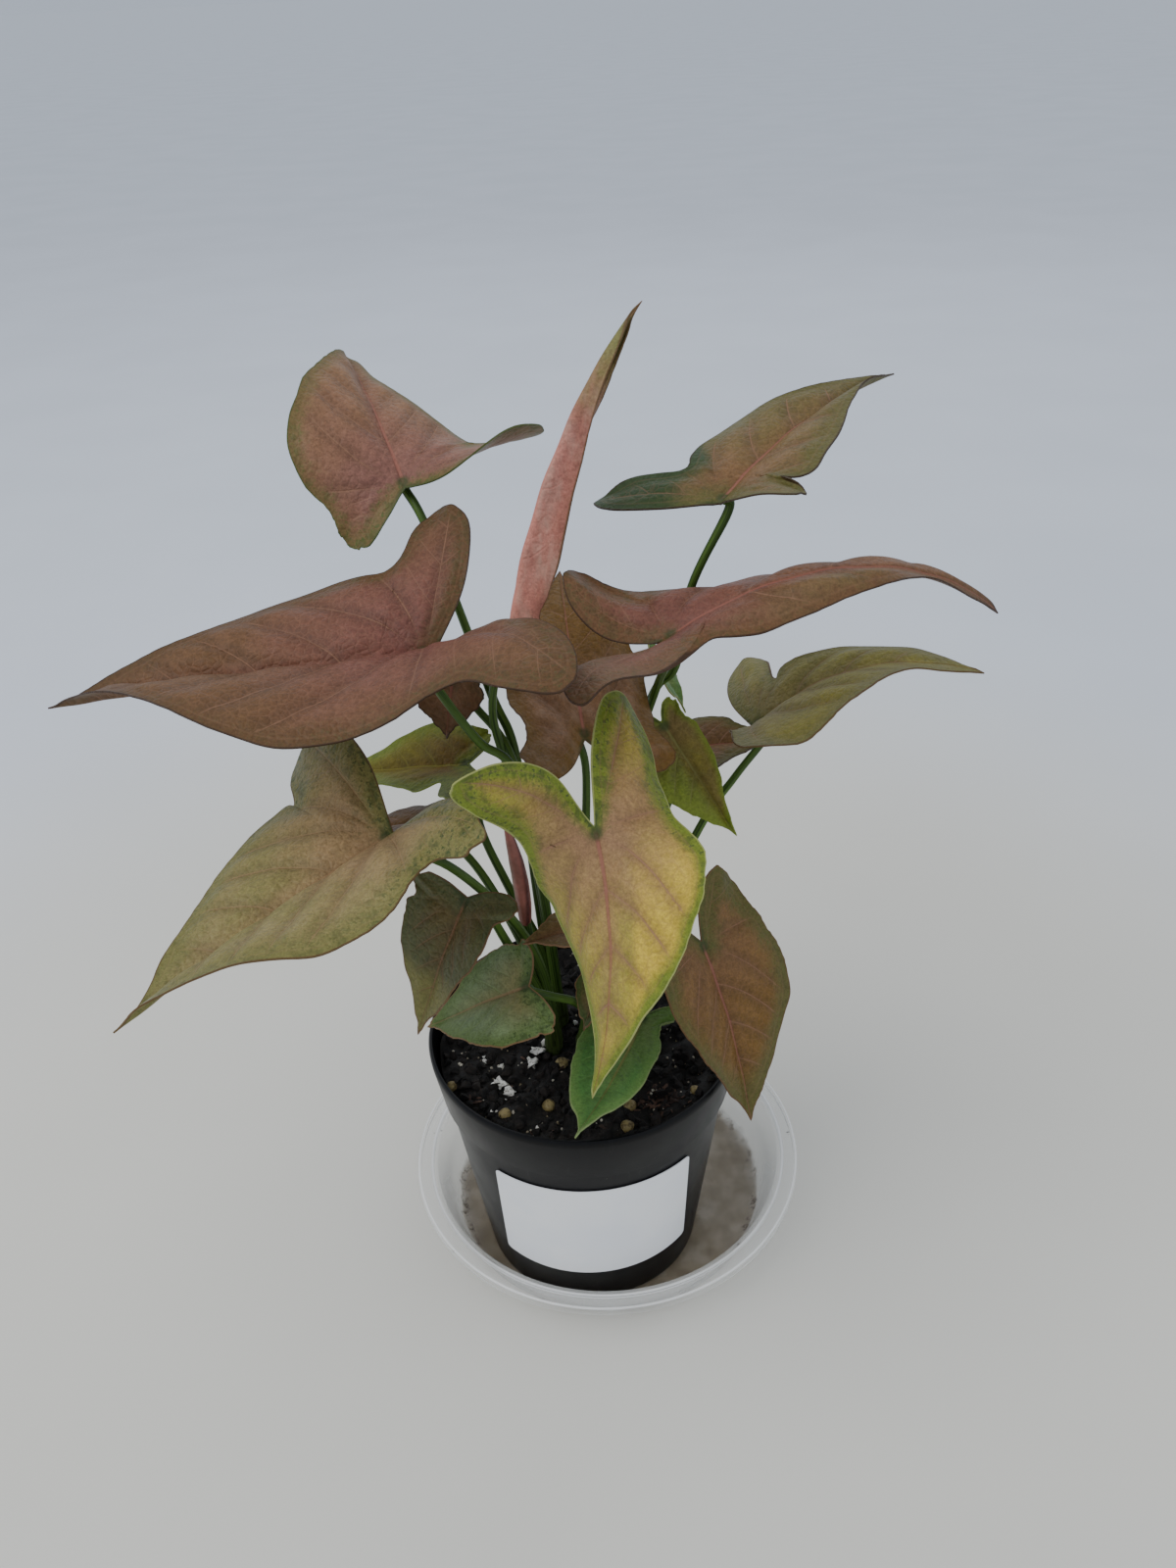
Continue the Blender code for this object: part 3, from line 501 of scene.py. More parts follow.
brown = clear.blend(clear.most(flecks, clear.times(clear.step(spill, 0.48, 0.70), 0.6)),
                    paint(132, 112, 76), paint(92, 68, 44))
dish = clear.blend(clear.step(marks, 0.0, 0.4), paint(236, 238, 238), brown)
dish = clear.blend(clear.times(specks, 0.8), dish, paint(70, 58, 50))
# Painted highlights: thin white lines round the lip, which also make the film denser there.
rings = 0.0
for radius, fades, full in LIP_HIGHLIGHT_LINES:
    off = clear.size(clear.plus(reach, -radius*MM))
    rings = clear.plus(rings, clear.step(off, fades*MM, full*MM))
rings = clear.times(rings, clear.step(sides[2], 0.0190, 0.0205))
dish = clear.blend(clear.times(rings, 0.9), dish, paint(252, 252, 252))
edge_on = clear.step(clear.node("LayerWeight", {"Blend": 0.5}).outputs["Facing"], 0.35, 1.0, 0.08, 0.62)
body = clear.most(clear.plus(edge_on, clear.times(lip, 0.08)), clear.most(marks, specks))
body = clear.most(body, clear.times(rings, 0.7))
rough = clear.plus(clear.step(wander, 0.3, 0.7, 0.06, 0.14), clear.times(marks, 0.4))
hand_over(saucer, "clear_plastic", "saucer", clear.done(dish, rough, Alpha=body))

# %% [markdown]
# ## Label
# A sheet of white film round the front of the pot, with slightly rounded corners. A flat sheet could be
# shrink-wrapped, but a grid laid on the pot's cone by a formula keeps its width true: it is equally wide
# at every height, so it goes further round where the pot is narrower. Its face is left bare.

# %% Wrap the label
LABEL_WIDTH = 71.0
LABEL_TOP = 69.5
LABEL_FOOT = 19.5
LABEL_TURN = math.radians(2.0)
LABEL_CORNER = 1.6
LABEL_OFF = 0.3              # how far it stands off the pot
LABEL_THICK = 0.25


def on_pot(u, v):
    """A place on the label for u across and v up, with its corners drawn in."""
    height = LABEL_TOP-LABEL_FOOT
    up = height*(0.5-0.5*np.cos(np.pi*v))
    from_edge = np.clip(LABEL_CORNER-np.minimum(up, height-up), 0, LABEL_CORNER)
    inset = LABEL_CORNER-np.sqrt(LABEL_CORNER**2-from_edge**2)
    z = LABEL_FOOT+up
    radius = pot_radius(z)
    turn = LABEL_TURN+(LABEL_WIDTH-2*inset)*(u-0.5)/radius
    radius = radius+LABEL_OFF
    return np.column_stack([radius*np.sin(turn), -radius*np.cos(turn), z])


label = placed_grid("bare_label", 64, 40, on_pot)
apply_step(label, "SOLIDIFY", thickness=LABEL_THICK*MM, offset=1.0)
smooth(label, 40)

film = Finish("white_film", 0.42)
sheen = film.grain(26, 2)
white = film.blend(film.step(sheen, 0.3, 0.7), paint(248, 250, 253), paint(241, 244, 250))
film.relief(film.grain(9, 2), 0.15, 0.25)
hand_over(label, "white_card", "label", film.done(white, film.step(sheen, 0.3, 0.7, 0.36, 0.48)))

# %% [markdown]
# ## Potting mix
# Dark, damp crumbs fill the pot to just under its rim. Bump alone would look flat from so near, so a
# disc with a lumpy top carries the shape, and hundreds of small crumbs, pale specks, white perlite, tan
# feed grains and brown fibres lie in it. Each kind is modelled a few times, then copied with a seeded
# draw for its turn and size. The bits that catch the eye lie where the photo shows them: the camera's
# ray through a pixel is followed down to the bed.

# %% Lay the bed
SOIL_TOP = 90.0
SOIL_SWELL = 1.2
BED_ROWS = (0, 0.88, 0.90, 0.92, 0.94, 1)
BED_REACH = (0, 50.6, 50.6, 49.9, 47.9, 38.0)
BED_DROP = (0, 0, 2.5, 9.0, 12.5, 83.5)
STEMS = {
    "left_back": (-9, 9),
    "left_front": (-11, -3),
    "centre_front": (1, -9),
    "right_back": (3, 12),
    "right_front": (12, 1),
}
STEM_CLEAR = 4.5             # bare ring round a stem's axis


def soil_height(x, y):
    """The gentle swells of the bed's top."""
    swell = np.sin(0.21*x+0.6)*np.cos(0.17*y-0.4)+0.6*np.sin(0.34*x-0.29*y)
    return SOIL_TOP+SOIL_SWELL*swell


def rough_height(x, y):
    """The swells with crumbly detail."""
    x, y = np.asarray(x), np.asarray(y)
    crumbs = [noise.fractal(Vector((a*0.35, b*0.35, 3.1)), 0.8, 2.1, 3) for a, b in zip(x, y)]
    return soil_height(x, y)+0.9*np.array(crumbs)


def on_bed(u, v):
    """Down the bed's middle, out along its top and down its side, turned round by u."""
    out = np.interp(v, BED_ROWS, BED_REACH)
    turn = math.tau*u
    x, y = out*np.cos(turn), out*np.sin(turn)
    down = np.interp(v, BED_ROWS, BED_DROP)
    z = np.where(down > 0, SOIL_TOP-down, rough_height(x, y))
    return np.column_stack([x, y, z])


bed = placed_grid("potting_mix", 120, 50, on_bed)
join_seams(bed, turn_out=False)
bpy.ops.object.mode_set(mode="EDIT")
bpy.ops.mesh.select_all(action="DESELECT")
bpy.ops.mesh.select_non_manifold()
bpy.ops.mesh.edge_face_add()
bpy.ops.mesh.select_all(action="SELECT")
bpy.ops.mesh.normals_make_consistent(inside=False)
bpy.ops.object.mode_set(mode="OBJECT")
smooth(bed, 60)

mix = Finish("damp_potting_mix", 0.9)
peat = mix.blend(mix.step(mix.grain(2.2, 4, 0.65), 0.35, 0.7), paint(11, 10, 9), paint(30, 25, 22))
pale = mix.step(mix.cells(2.4), 0.11, 0.06)
peat = mix.blend(mix.times(pale, 0.3), peat, paint(104, 92, 76))
mix.relief(mix.grain(1.3, 4, 0.7), 0.7, 0.9)
hand_over(bed, "soil_mix", "soil", mix.done(peat, mix.step(mix.grain(6, 2), 0.4, 0.6, 0.7, 0.95)))

# %% Write the helpers for small bits
draw = random.Random(11)


def pebble(name, subdivisions, bumps, depth, squash=(1, 1, 1)):
    """A unit ball, dented by noise."""
    deselect()
    bpy.ops.mesh.primitive_ico_sphere_add(subdivisions=subdivisions, radius=1.0)
    ball = bpy.context.object
    ball.name = ball.data.name = name
    shift = Vector((draw.uniform(0, 50), draw.uniform(0, 50), draw.uniform(0, 50)))
    points = [Vector(p) for p in read_points(ball)]
    points = [p*(1+depth*noise.noise(p*bumps+shift)) for p in points]
    write_points(ball, np.array(points)*squash)
    return ball


def bed_spot(near, far):
    """A place on the bed, at even density, clear of the stems."""
    while True:
        reach = math.sqrt(draw.uniform(near**2, far**2))
        turn = draw.uniform(0, math.tau)
        x, y = reach*math.cos(turn), reach*math.sin(turn)
        if all(math.hypot(x-a, y-b) > STEM_CLEAR for a, b in STEMS.values()):
            return x, y


def sprinkle(name, models, spots, sizes, sink, flat=0.0):
    """A copy of a model at each spot, turned and sized by the draw; sink is how deep it sits."""
    copies = []
    for x, y in spots:
        size = draw.uniform(*sizes)
        model = draw.choice(models)
        copy = model.copy()
        copy.data = model.data.copy()
        bpy.context.scene.collection.objects.link(copy)
        turn = Matrix.Rotation(draw.uniform(0, math.tau), 4, "Z")
        tip = Matrix.Rotation(draw.uniform(-1, 1)*(1-flat)*1.5, 4, "X")
        z = float(rough_height([x], [y])[0])+size*(1-2*sink)
        copy.data.transform(Matrix.Translation(Vector((x, y, z))*MM) @ turn @ tip
                            @ Matrix.Diagonal((size*MM, size*MM, size*MM, 1)))
        copies.append(copy)
    for model in models:
        bpy.data.objects.remove(model, do_unlink=True)
    return joined(name, copies)


print("bits will keep", STEM_CLEAR, "mm off each stem")

# %% Follow the camera's ray to the bed
PHOTO_WIDTH = 1200
PHOTO_HEIGHT = 1600
FOCAL_PIXELS = FOCAL_LENGTH/SENSOR*PHOTO_HEIGHT
BITS_MIDDLE = SOIL_TOP+0.5


def seen_through(pixel):
    """Where the camera sees the bits in a pixel, which is counted from the photo's upper left corner."""
    across = (pixel[0]-PHOTO_WIDTH/2)/FOCAL_PIXELS
    down = (pixel[1]-PHOTO_HEIGHT/2)/FOCAL_PIXELS
    ray = ahead+right*across-upward*down
    run = (BITS_MIDDLE-EYE[2])/ray.z
    return EYE[0]+run*ray.x, EYE[1]+run*ray.y


print("the photo's middle shows the bed's level at", seen_through((PHOTO_WIDTH/2, PHOTO_HEIGHT/2)))

# %% Scatter crumbs and pale specks
CRUMBS = 900
SPECKS = 260

crumb_models = [pebble(f"crumb_{i}", 1, 1.7, 0.9) for i in range(4)]
crumbs = sprinkle("soil_crumbs", crumb_models, [bed_spot(4, 49) for i in range(CRUMBS)], (0.7, 2.4), 0.5)
smooth(crumbs, 30)
crumb = Finish("dark_crumb", 0.9)
tint = crumb.blend(crumb.step(crumb.grain(3.5, 3, 0.6), 0.38, 0.66), paint(9, 8, 8), paint(36, 29, 25))
crumb.relief(crumb.grain(0.7, 3, 0.7), 0.35, 0.9)
hand_over(crumbs, "soil_mix", None, crumb.done(tint))

speck_models = [pebble(f"speck_{i}", 1, 1.5, 0.6) for i in range(2)]
specks = sprinkle("pale_specks", speck_models, [bed_spot(6, 49) for i in range(SPECKS)], (0.22, 0.65), 0.3)
speck = Finish("pale_speck", 0.8)
tint = speck.blend(speck.step(speck.grain(6, 2), 0.4, 0.6), paint(196, 190, 176), paint(136, 122, 98))
hand_over(specks, "soil_mix", None, speck.done(tint))

# %% Scatter perlite
PERLITE_PIXELS = ((509, 1106), (519, 1112), (557, 1064), (548, 1074), (543, 1085))
CHIPS = 24

perlite_models = [pebble(f"perlite_{i}", 2, 2.3, 1.25, (1.15, 0.9, 0.75)) for i in range(4)]
small_models = [pebble(f"perlite_chip_{i}", 2, 2.3, 1.1) for i in range(3)]
perlite_spots = [seen_through(pixel) for pixel in PERLITE_PIXELS]
perlite = sprinkle("perlite", perlite_models, perlite_spots, (1.5, 2.1), 0.35)
chips = sprinkle("perlite_chips", small_models, [bed_spot(8, 48) for i in range(CHIPS)], (0.5, 1.2), 0.35)
perlite = joined("perlite", [perlite, chips])
smooth(perlite, 60)
foam = Finish("white_perlite", 0.85)
# The pits are painted grey: painted shade inside them. The bump dents them as well.
pits = foam.step(foam.cells(0.9), 0.15, 0.5)
tint = foam.blend(pits, paint(176, 172, 162), paint(240, 238, 232))
foam.relief(pits, 0.25, 0.7)
hand_over(perlite, "soil_mix", None, foam.done(tint))

# %% Scatter feed grains
GRAIN_PIXELS = ((516, 1141), (640, 1149), (710, 1114), (573, 1088), (643, 1128), (461, 1110))
MORE_GRAINS = 5

grain_models = [pebble(f"grain_{i}", 3, 1.2, 0.16, (1, 1, 0.86)) for i in range(3)]
grain_spots = [seen_through(pixel) for pixel in GRAIN_PIXELS]
grain_spots += [bed_spot(15, 47) for i in range(MORE_GRAINS)]
grains = sprinkle("feed_grains", grain_models, grain_spots, (1.8, 2.4), 0.40, flat=0.6)
smooth(grains, 60)
feed = Finish("tan_feed_grain", 0.6)
spots = feed.step(feed.grain(1.4, 3, 0.6), 0.42, 0.66)
tint = feed.blend(spots, paint(146, 130, 84), paint(92, 78, 46))
feed.relief(feed.grain(0.8, 3), 0.2, 0.6)
hand_over(grains, "soil_mix", None, feed.done(tint, feed.step(spots, 0, 1, 0.5, 0.75)))

# %% Scatter bark fibres
HEAP_PIXEL = (678, 1121)
HEAPED_FIBRES = 70
LOOSE_FIBRES = 45

fibre_models = [pebble(f"fibre_{i}", 1, 1.6, 0.7, (1.7, 0.45, 0.4)) for i in range(3)]
heap_x, heap_y = seen_through(HEAP_PIXEL)
heap = [(heap_x+draw.gauss(0, 4.2), heap_y+draw.gauss(0, 3.4)) for i in range(HEAPED_FIBRES)]
fibre_spots = [(x, y) for x, y in heap if math.hypot(x, y) < 48]
fibre_spots += [bed_spot(8, 48) for i in range(LOOSE_FIBRES)]
fibres = sprinkle("bark_fibres", fibre_models, fibre_spots, (0.6, 1.3), 0.2)
smooth(fibres, 40)
bark = Finish("brown_bark_fibre", 0.8)
tint = bark.blend(bark.step(bark.grain(4, 3), 0.4, 0.62), paint(52, 36, 30), paint(104, 78, 64))
bark.relief(bark.grain(0.5, 3, 0.7), 0.2, 0.8)
hand_over(fibres, "soil_mix", None, bark.done(tint))

# %% [markdown]
# ## The leaves' own list
# Each blade is an arrowhead: a long front part, two lobes beside the stalk, and a notch between them.
# Each could be sculpted on its own, but with a list of measures one function draws them all. The list
# says where each blade meets its stalk, how wide and long its parts are, which way it faces and how it
# arches, folds and twists. Pairs are left and right of the midrib, seen from above.

# %% List the leaves
@dataclass
class Leaf:
    """One arrowhead blade."""
    name: str
    plantlet: str
    at: tuple                    # where the stalk meets the blade
    length: float                # from the stalk to the tip
    width: tuple                 # half widths
    lobe: tuple                  # lengths of the two lobes
    spread: tuple                # turn from the tip round to each lobe
    facing: tuple                # heading, pitch and roll at the stalk
    droop: float = 0.0           # arch of the midrib, stalk to tip
    lobe_droop: tuple = (10, 10)
    fold: tuple = (15, 15)       # how far each half stands up from flat
    lobe_fold: tuple = (15, 15)
    cup: float = 12.0            # curl of each half from midrib to margin
    twist: float = 0.0           # turn about the midrib at the tip
    twist_power: float = 1.0     # 1 turns evenly, more turns late
    sway: float = 0.0            # sideways bend of the midrib
    neck: tuple = (0, 0)         # how far each outer margin is drawn in
    waist: float = 0.88          # width beside the stalk, as a share of the widest
    slot: str = "blade_mauve"
    stalk: tuple = ()            # points that the stalk passes, from the stem up


LEAVES = [
    Leaf("leaf_upper_left", "left_back", (-47, 50, 278), 74, (30, 29), (23, 47), (118, 100), (114, 39, -15),
         droop=40, lobe_droop=(40, 60), fold=(20, -5), lobe_fold=(-13, 41), cup=23, twist=45, sway=2,
         neck=(0, 0.45), waist=0.83, stalk=((-12, 11, 130), (-17, 18, 196), (-24, 24, 218), (-40, 44, 263))),
    Leaf("leaf_big_left", "left_back", (-40, 0, 244), 112, (44, 33), (75, 52), (120, 110), (191, 1, -2),
         droop=16, lobe_droop=(35, 15), fold=(17, 39), lobe_fold=(55, 60), cup=40, twist=23, sway=-25,
         neck=(-0.3, 0.15), waist=1.0, stalk=((-11, 8, 150), (-17, 6, 198), (-27, 3, 212), (-37, 2, 230))),
    Leaf("leaf_folded_top", "left_back", (-15, 10, 246), 99, (10, 12), (20, 20), (140, 140), (205, 101, 0),
         droop=-34, lobe_droop=(0, 0), fold=(68, 54), lobe_fold=(62, 52), cup=20, twist=-100, twist_power=3,
         slot="blade_pink_back", stalk=((-12, 13, 150), (-19, 15, 190), (-23, 13, 215), (-20, 10, 235))),
    Leaf("leaf_upper_right", "right_back", (48, 20, 279), 86, (21, 19), (41, 28), (112, 90), (47, 25, -4),
         droop=25, lobe_droop=(5, 20), fold=(18, 6), lobe_fold=(22, 47), cup=18, twist=-6, sway=-5,
         neck=(0.1, 0.3), waist=0.83, slot="blade_olive",
         stalk=((7, 18, 130), (17, 29, 180), (28, 33, 210), (35, 30, 221), (39, 22, 251))),
    Leaf("leaf_long_right", "right_back", (31, -4, 248), 119, (25, 15), (43, 58), (139, 129), (9, 33, 2),
         droop=80, lobe_droop=(60, 42), fold=(-8, -13), lobe_fold=(60, 58), cup=27, twist=-10, sway=13,
         waist=0.9, stalk=((8, 17, 130), (18, 27, 180), (28, 30, 211), (31, 12, 231))),
    Leaf("leaf_mid_right", "right_front", (61, 24, 202), 76, (17, 34), (42, 12), (90, 126), (-1, 49, -6),
         droop=71, lobe_droop=(17, 35), fold=(17, 5), lobe_fold=(20, 47), cup=14, twist=-14,
         neck=(-0.4, 0.3), waist=0.82, slot="blade_olive",
         stalk=((20, 6, 125), (42, 19, 166), (54, 23, 183))),
    Leaf("leaf_front", "centre_front", (7, -55, 216), 71, (29, 26), (51, 51), (154, 132), (285, -48, 27),
         droop=30, lobe_droop=(-17, 50), fold=(14, -15), lobe_fold=(-25, 60), cup=40, twist=34, sway=-35,
         neck=(0.1, 0.3), waist=0.75, slot="blade_golden",
         stalk=((8, -5, 130), (12, -8, 155), (10, -22, 182), (8, -38, 206), (8, -48, 214))),
    Leaf("leaf_lower_left", "left_front", (-53, -30, 201), 88, (40, 38), (51, 52), (122, 91),
         (212, -14, -10), droop=-10, lobe_droop=(56, 0), fold=(36, 14), lobe_fold=(56, 40), cup=40,
         twist=19, sway=19, neck=(-0.1, 0.1), waist=0.91, slot="blade_sage",
         stalk=((-13, -2, 125), (-21, -7, 151), (-37, -22, 184))),
    Leaf("leaf_dark_left", "left_front", (-33, -25, 173), 46, (18, 18), (20, 17), (113, 94), (221, -53, -7),
         droop=17, lobe_droop=(12, 15), fold=(24, 19), lobe_fold=(8, 28), cup=11, twist=8,
         slot="blade_dark", stalk=((-15, -4, 120), (-23, -8, 142), (-28, -15, 162))),
    Leaf("leaf_heart_small", "centre_front", (-17, -25, 138), 41, (19, 16), (16, 14), (116, 116),
         (172, -26, -28), droop=13, lobe_droop=(10, 20), fold=(19, 12), lobe_fold=(-6, 30), cup=13, twist=8,
         slot="blade_grey_green", stalk=((2, -12, 110), (-1, -16, 122), (-9, -21, 130))),
    Leaf("leaf_low_green", "centre_front", (20, -15, 113), 57, (10, 16), (13, 14), (128, 128),
         (249, -4, -10), droop=-10, fold=(5, 6), lobe_fold=(14, 15), cup=14, sway=-8,
         neck=(-0.2, -0.3), waist=0.7, slot="blade_green", stalk=((10, -13, 104),)),
    Leaf("leaf_lower_right", "right_front", (40, -15, 143), 63, (26, 23), (26, 21), (143, 128),
         (309, -57, -2), droop=18, lobe_droop=(4, 10), fold=(17, 17), lobe_fold=(9, 10), cup=12, twist=5,
         sway=-4, neck=(-0.1, 0), slot="blade_brown", stalk=((20, -4, 115), (33, -11, 136))),
    Leaf("leaf_centre", "right_back", (5, 10, 209), 69, (23, 25), (31, 29), (126, 126), (99, 42, 18),
         droop=32, lobe_droop=(11, 11), fold=(5, 1), lobe_fold=(27, 44), cup=18, twist=-22, sway=-17,
         waist=0.93, stalk=((3, 15, 150), (5, 17, 190))),
    Leaf("leaf_yellow_left", "left_back", (-34, 20, 194), 53, (16, 17), (34, 12), (119, 121),
         (155, -14, -12), droop=4, lobe_droop=(12, 12), fold=(15, 23), lobe_fold=(23, 7), cup=5, waist=0.84,
         slot="blade_golden", stalk=((-13, 9, 125), (-23, 10, 153), (-30, 14, 172))),
    Leaf("leaf_drooping_right", "right_front", (30.5, 21, 204.5), 43, (9, 17), (9, 11), (140, 140),
         (-42, -46, 40), droop=12, fold=(20, 20), lobe_fold=(15, 15), cup=15, twist=12,
         waist=0.85, slot="blade_olive", stalk=((17, 7, 140), (22, 15, 185))),
    Leaf("leaf_behind_right", "right_front", (37, 50, 176), 36, (15, 18), (16, 16), (122, 122),
         (-8, 24, 8), droop=30, waist=0.85, stalk=((18, 11, 120), (29, 32, 155))),
    Leaf("leaf_behind_left", "left_front", (-50, 18, 174), 30, (12, 12), (15, 15), (122, 122),
         (170, -10, 12), droop=25, waist=0.85, stalk=((-14, -1, 120), (-27, 5, 153), (-38, 12, 167))),
    Leaf("leaf_under_left", "left_back", (-35, 22, 224), 19, (12, 12), (12, 12), (122, 122), (250, -50, 0),
         droop=25, waist=0.85, stalk=((-12, 10, 150), (-18, 14, 198), (-29, 22, 214))),
    Leaf("leaf_sliver_green", "right_back", (29, 49, 213), 22, (8, 8), (9, 9), (122, 122), (-10, -50, 0),
         droop=20, waist=0.85, slot="blade_green", stalk=((7, 23, 140), (20, 42, 190))),
    Leaf("leaf_tiny_brown", "centre_front", (5, -15, 153), 23, (12, 10), (11, 11), (122, 122), (192, 3, 0),
         droop=15, waist=0.85, slot="blade_brown", stalk=((3, -10, 120), (6, -12, 143))),
    Leaf("leaf_low_brown", "centre_front", (7, -19, 135), 19, (9, 8), (9, 9), (122, 122), (222, -55, 0),
         droop=15, waist=0.85, slot="blade_brown", stalk=((3, -10, 112), (7, -14, 128))),
]

print("leaves:", len(LEAVES), "longest:", max(leaf.length for leaf in LEAVES), "mm")

# %% [markdown]
# ## The shape of a blade
# First the flat outline: eleven key points a side, joined by a smooth curve that keeps its corners at
# the tip and the notch. Then the bends: the flat blade is laid on an arc along its midrib, each half is
# folded up and curled, and the whole is twisted and swayed. Bend modifiers could do the same, but the
# solids were made by these formulas, and one set of numbers keeps both alike.

# %% Draw the flat outline
HUB = 0.12                   # where the rings are centred, ahead of the stalk, as a share of the length
NOTCH = 0.03
SHOULDER_TURN = 18.0
FOLD_ROUND = 1.5
MARGIN_WAVES = 3.0
MARGIN_WAVE_HEIGHT = 0.012


def half_outline(length, half_width, lobe, spread, waist, neck):
    """Key points of one half, from the tip round the lobe towards the notch."""
    turn = math.radians(spread)
    ahead = np.array([math.cos(turn), math.sin(turn)])*lobe
    aside = np.array([math.sin(turn), -math.cos(turn)])*lobe
    seen = math.atan2(ahead[1], ahead[0]-HUB*length)-math.radians(SHOULDER_TURN)
    forward = HUB*length+waist*half_width/math.tan(seen)
    shoulder = np.array([max(-0.02*length, forward), waist*half_width])
    run = ahead-shoulder
    belly = np.array([-run[1], run[0]])/np.hypot(*run)*lobe
    if belly @ shoulder < 0:
        belly = -belly
    wide = 2*half_width
    points = [(length, 0.0), (0.90*length, 0.05*wide), (0.70*length, 0.22*wide*(1-neck)),
              (0.45*length, 0.42*wide*(1-0.4*neck)), (0.20*length, 0.5*wide), shoulder,
              shoulder+0.50*run+0.10*belly, shoulder+0.85*run+0.08*belly, ahead,
              0.82*ahead-0.14*aside, 0.45*ahead-0.16*aside]
    points = np.array(points)
    behind = np.clip(-points[1:, 0], 0, None)
    points[1:, 1] = np.maximum(points[1:, 1], 0.015*length+0.12*behind)
    return points


def blade_outline(leaf):
    """The whole margin: left half from tip to notch, then the right half back to the tip."""
    left, right = (half_outline(leaf.length, leaf.width[i], leaf.lobe[i], leaf.spread[i], leaf.waist,
                                leaf.neck[i]) for i in (0, 1))
    return np.vstack([left, [(-NOTCH*leaf.length, 0.0)], (right*(1, -1))[:0:-1]])


def through(keys, t):
    """A smooth open curve through key points, at t counted in keys."""
    ends = np.vstack([2*keys[0]-keys[1], keys, 2*keys[-1]-keys[-2]])
    i = np.clip(t.astype(int), 0, len(keys)-2)
    f = (t-i)[:, None]
    a, b, c, d = (ends[i+k] for k in range(4))
    return 0.5*(2*b+(c-a)*f+(2*a-5*b+4*c-d)*f**2+(3*b-3*c+d-a)*f**3)


def fine_margin(leaf, u):
    """The margin at u, 0 at the tip, a half at the notch and 1 at the tip again."""
    keys = blade_outline(leaf)
    count = len(keys)
    half = count//2
    t = u*count
    left = through(keys[:half+1], np.clip(t, 0, half))
    right = through(np.vstack([keys[half:], keys[:1]]), np.clip(t-half, 0, half))
    return np.where((t <= half)[:, None], left, right)


print("outline keys:", len(blade_outline(LEAVES[0])))

# %% Bend the flat blade
def arc(run, curve):
    """Where a run along an arc ends: along and below its start."""
    curve = np.where(np.abs(curve) < 1e-6, 1e-6, curve)
    return np.sin(curve*run)/curve, (1-np.cos(curve*run))/curve


def ease(low, high, value):
    share = np.clip((value-low)/(high-low), 0, 1)
    return share*share*(3-2*share)


def bend_blade(leaf, flat, lift):
    """Arch, fold, cup and twist flat points; lift is their height over the flat blade."""
    x, y = flat[:, 0], flat[:, 1]
    left = y >= 0

    def by_side(pair):
        return np.where(left, *pair)

    along = np.where(x > 0, math.radians(leaf.droop)/leaf.length,
                     -np.radians(by_side(leaf.lobe_droop))/by_side(leaf.lobe))
    lean = along*x
    middle_x, middle_drop = arc(x, along)
    on_blade = ease(-0.25*leaf.length, 0.25*leaf.length, x)
    fold = np.radians(by_side(leaf.fold)*on_blade+by_side(leaf.lobe_fold)*(1-on_blade))
    fold = fold*(1-np.exp(-(y/FOLD_ROUND)**2))
    out, down = arc(np.abs(y), math.radians(leaf.cup)/(0.5*sum(leaf.width)))
    down = down-lift
    side = (out*np.cos(fold)+down*np.sin(fold))*by_side((1, -1))
    rise = out*np.sin(fold)-down*np.cos(fold)
    share = x/leaf.length
    twist = np.radians(leaf.twist)*np.clip(share, -1, 1)*np.abs(share)**(leaf.twist_power-1)
    side, rise = side*np.cos(twist)-rise*np.sin(twist), side*np.sin(twist)+rise*np.cos(twist)
    ahead = np.clip(x, 0, None)
    sway = math.radians(leaf.sway)*ahead/leaf.length*0.5
    return np.column_stack([middle_x+rise*np.sin(lean), side+ahead*np.sin(sway),
                            rise*np.cos(lean)-middle_drop])


def blade_axes(leaf):
    """Directions at the stalk: towards the tip, to the left, and up from the face."""
    heading, pitch, roll = (math.radians(a) for a in leaf.facing)
    tip = np.array([math.cos(heading)*math.cos(pitch), math.sin(heading)*math.cos(pitch), math.sin(pitch)])
    level = np.array([-math.sin(heading), math.cos(heading), 0.0])
    face = np.cross(tip, level)
    return tip, level*math.cos(roll)+face*math.sin(roll), face*math.cos(roll)-level*math.sin(roll)


def stand_blade(leaf, bent):
    return np.array(leaf.at)+bent @ np.array(blade_axes(leaf))


flat_tip = np.array([[LEAVES[0].length, 0.0]])
print("tip of the first leaf:", stand_blade(LEAVES[0], bend_blade(LEAVES[0], flat_tip, 0)))

# %% [markdown]
# ## Veins
# A midrib runs to the tip. Three or four pairs of side veins leave it and sweep forward, one pair fans
# out from the stalk, and each lobe has a vein of its own with small branches. Veins can't be told from
# the mesh, so every point is given a vein number that grows smoothly over the blade: a vein runs
# wherever it is whole, and the finish draws the line there as fine as it likes.

# %% Number the veins
VEIN_SPACING = 0.21          # from one pair to the next, as a share of the length
VEIN_LEAN = (0.60, 0.74)     # how far veins lean forward, left and right
VEIN_SWEEP = 0.75            # and how much more towards the margin
BASAL_TURN = 0.55            # between fan veins behind a lobe's own, radians
LOBE_SPACING = 0.27


def vein_number(leaf, flat):
    """Whole on a vein: 0 for the pair from the stalk, -2 for the lobes' own."""
    x, y = flat[:, 0], flat[:, 1]
    side = np.abs(y)
    left = y >= 0
    half = np.where(left, *leaf.width)
    lean = np.where(left, *VEIN_LEAN)
    start = x-lean*side-VEIN_SWEEP*side*side/half
    front = start/(VEIN_SPACING*leaf.length)
    seen = np.arctan2(side, x)
    first = np.arctan2(1.0, lean+VEIN_SWEEP*side/half)
    lobe = np.radians(np.where(left, *leaf.spread))
    beside = -2*(seen-first)/(lobe-first)
    behind = -2-(seen-lobe)/BASAL_TURN
    return np.where(start > 0, front, np.where(seen < lobe, beside, behind))


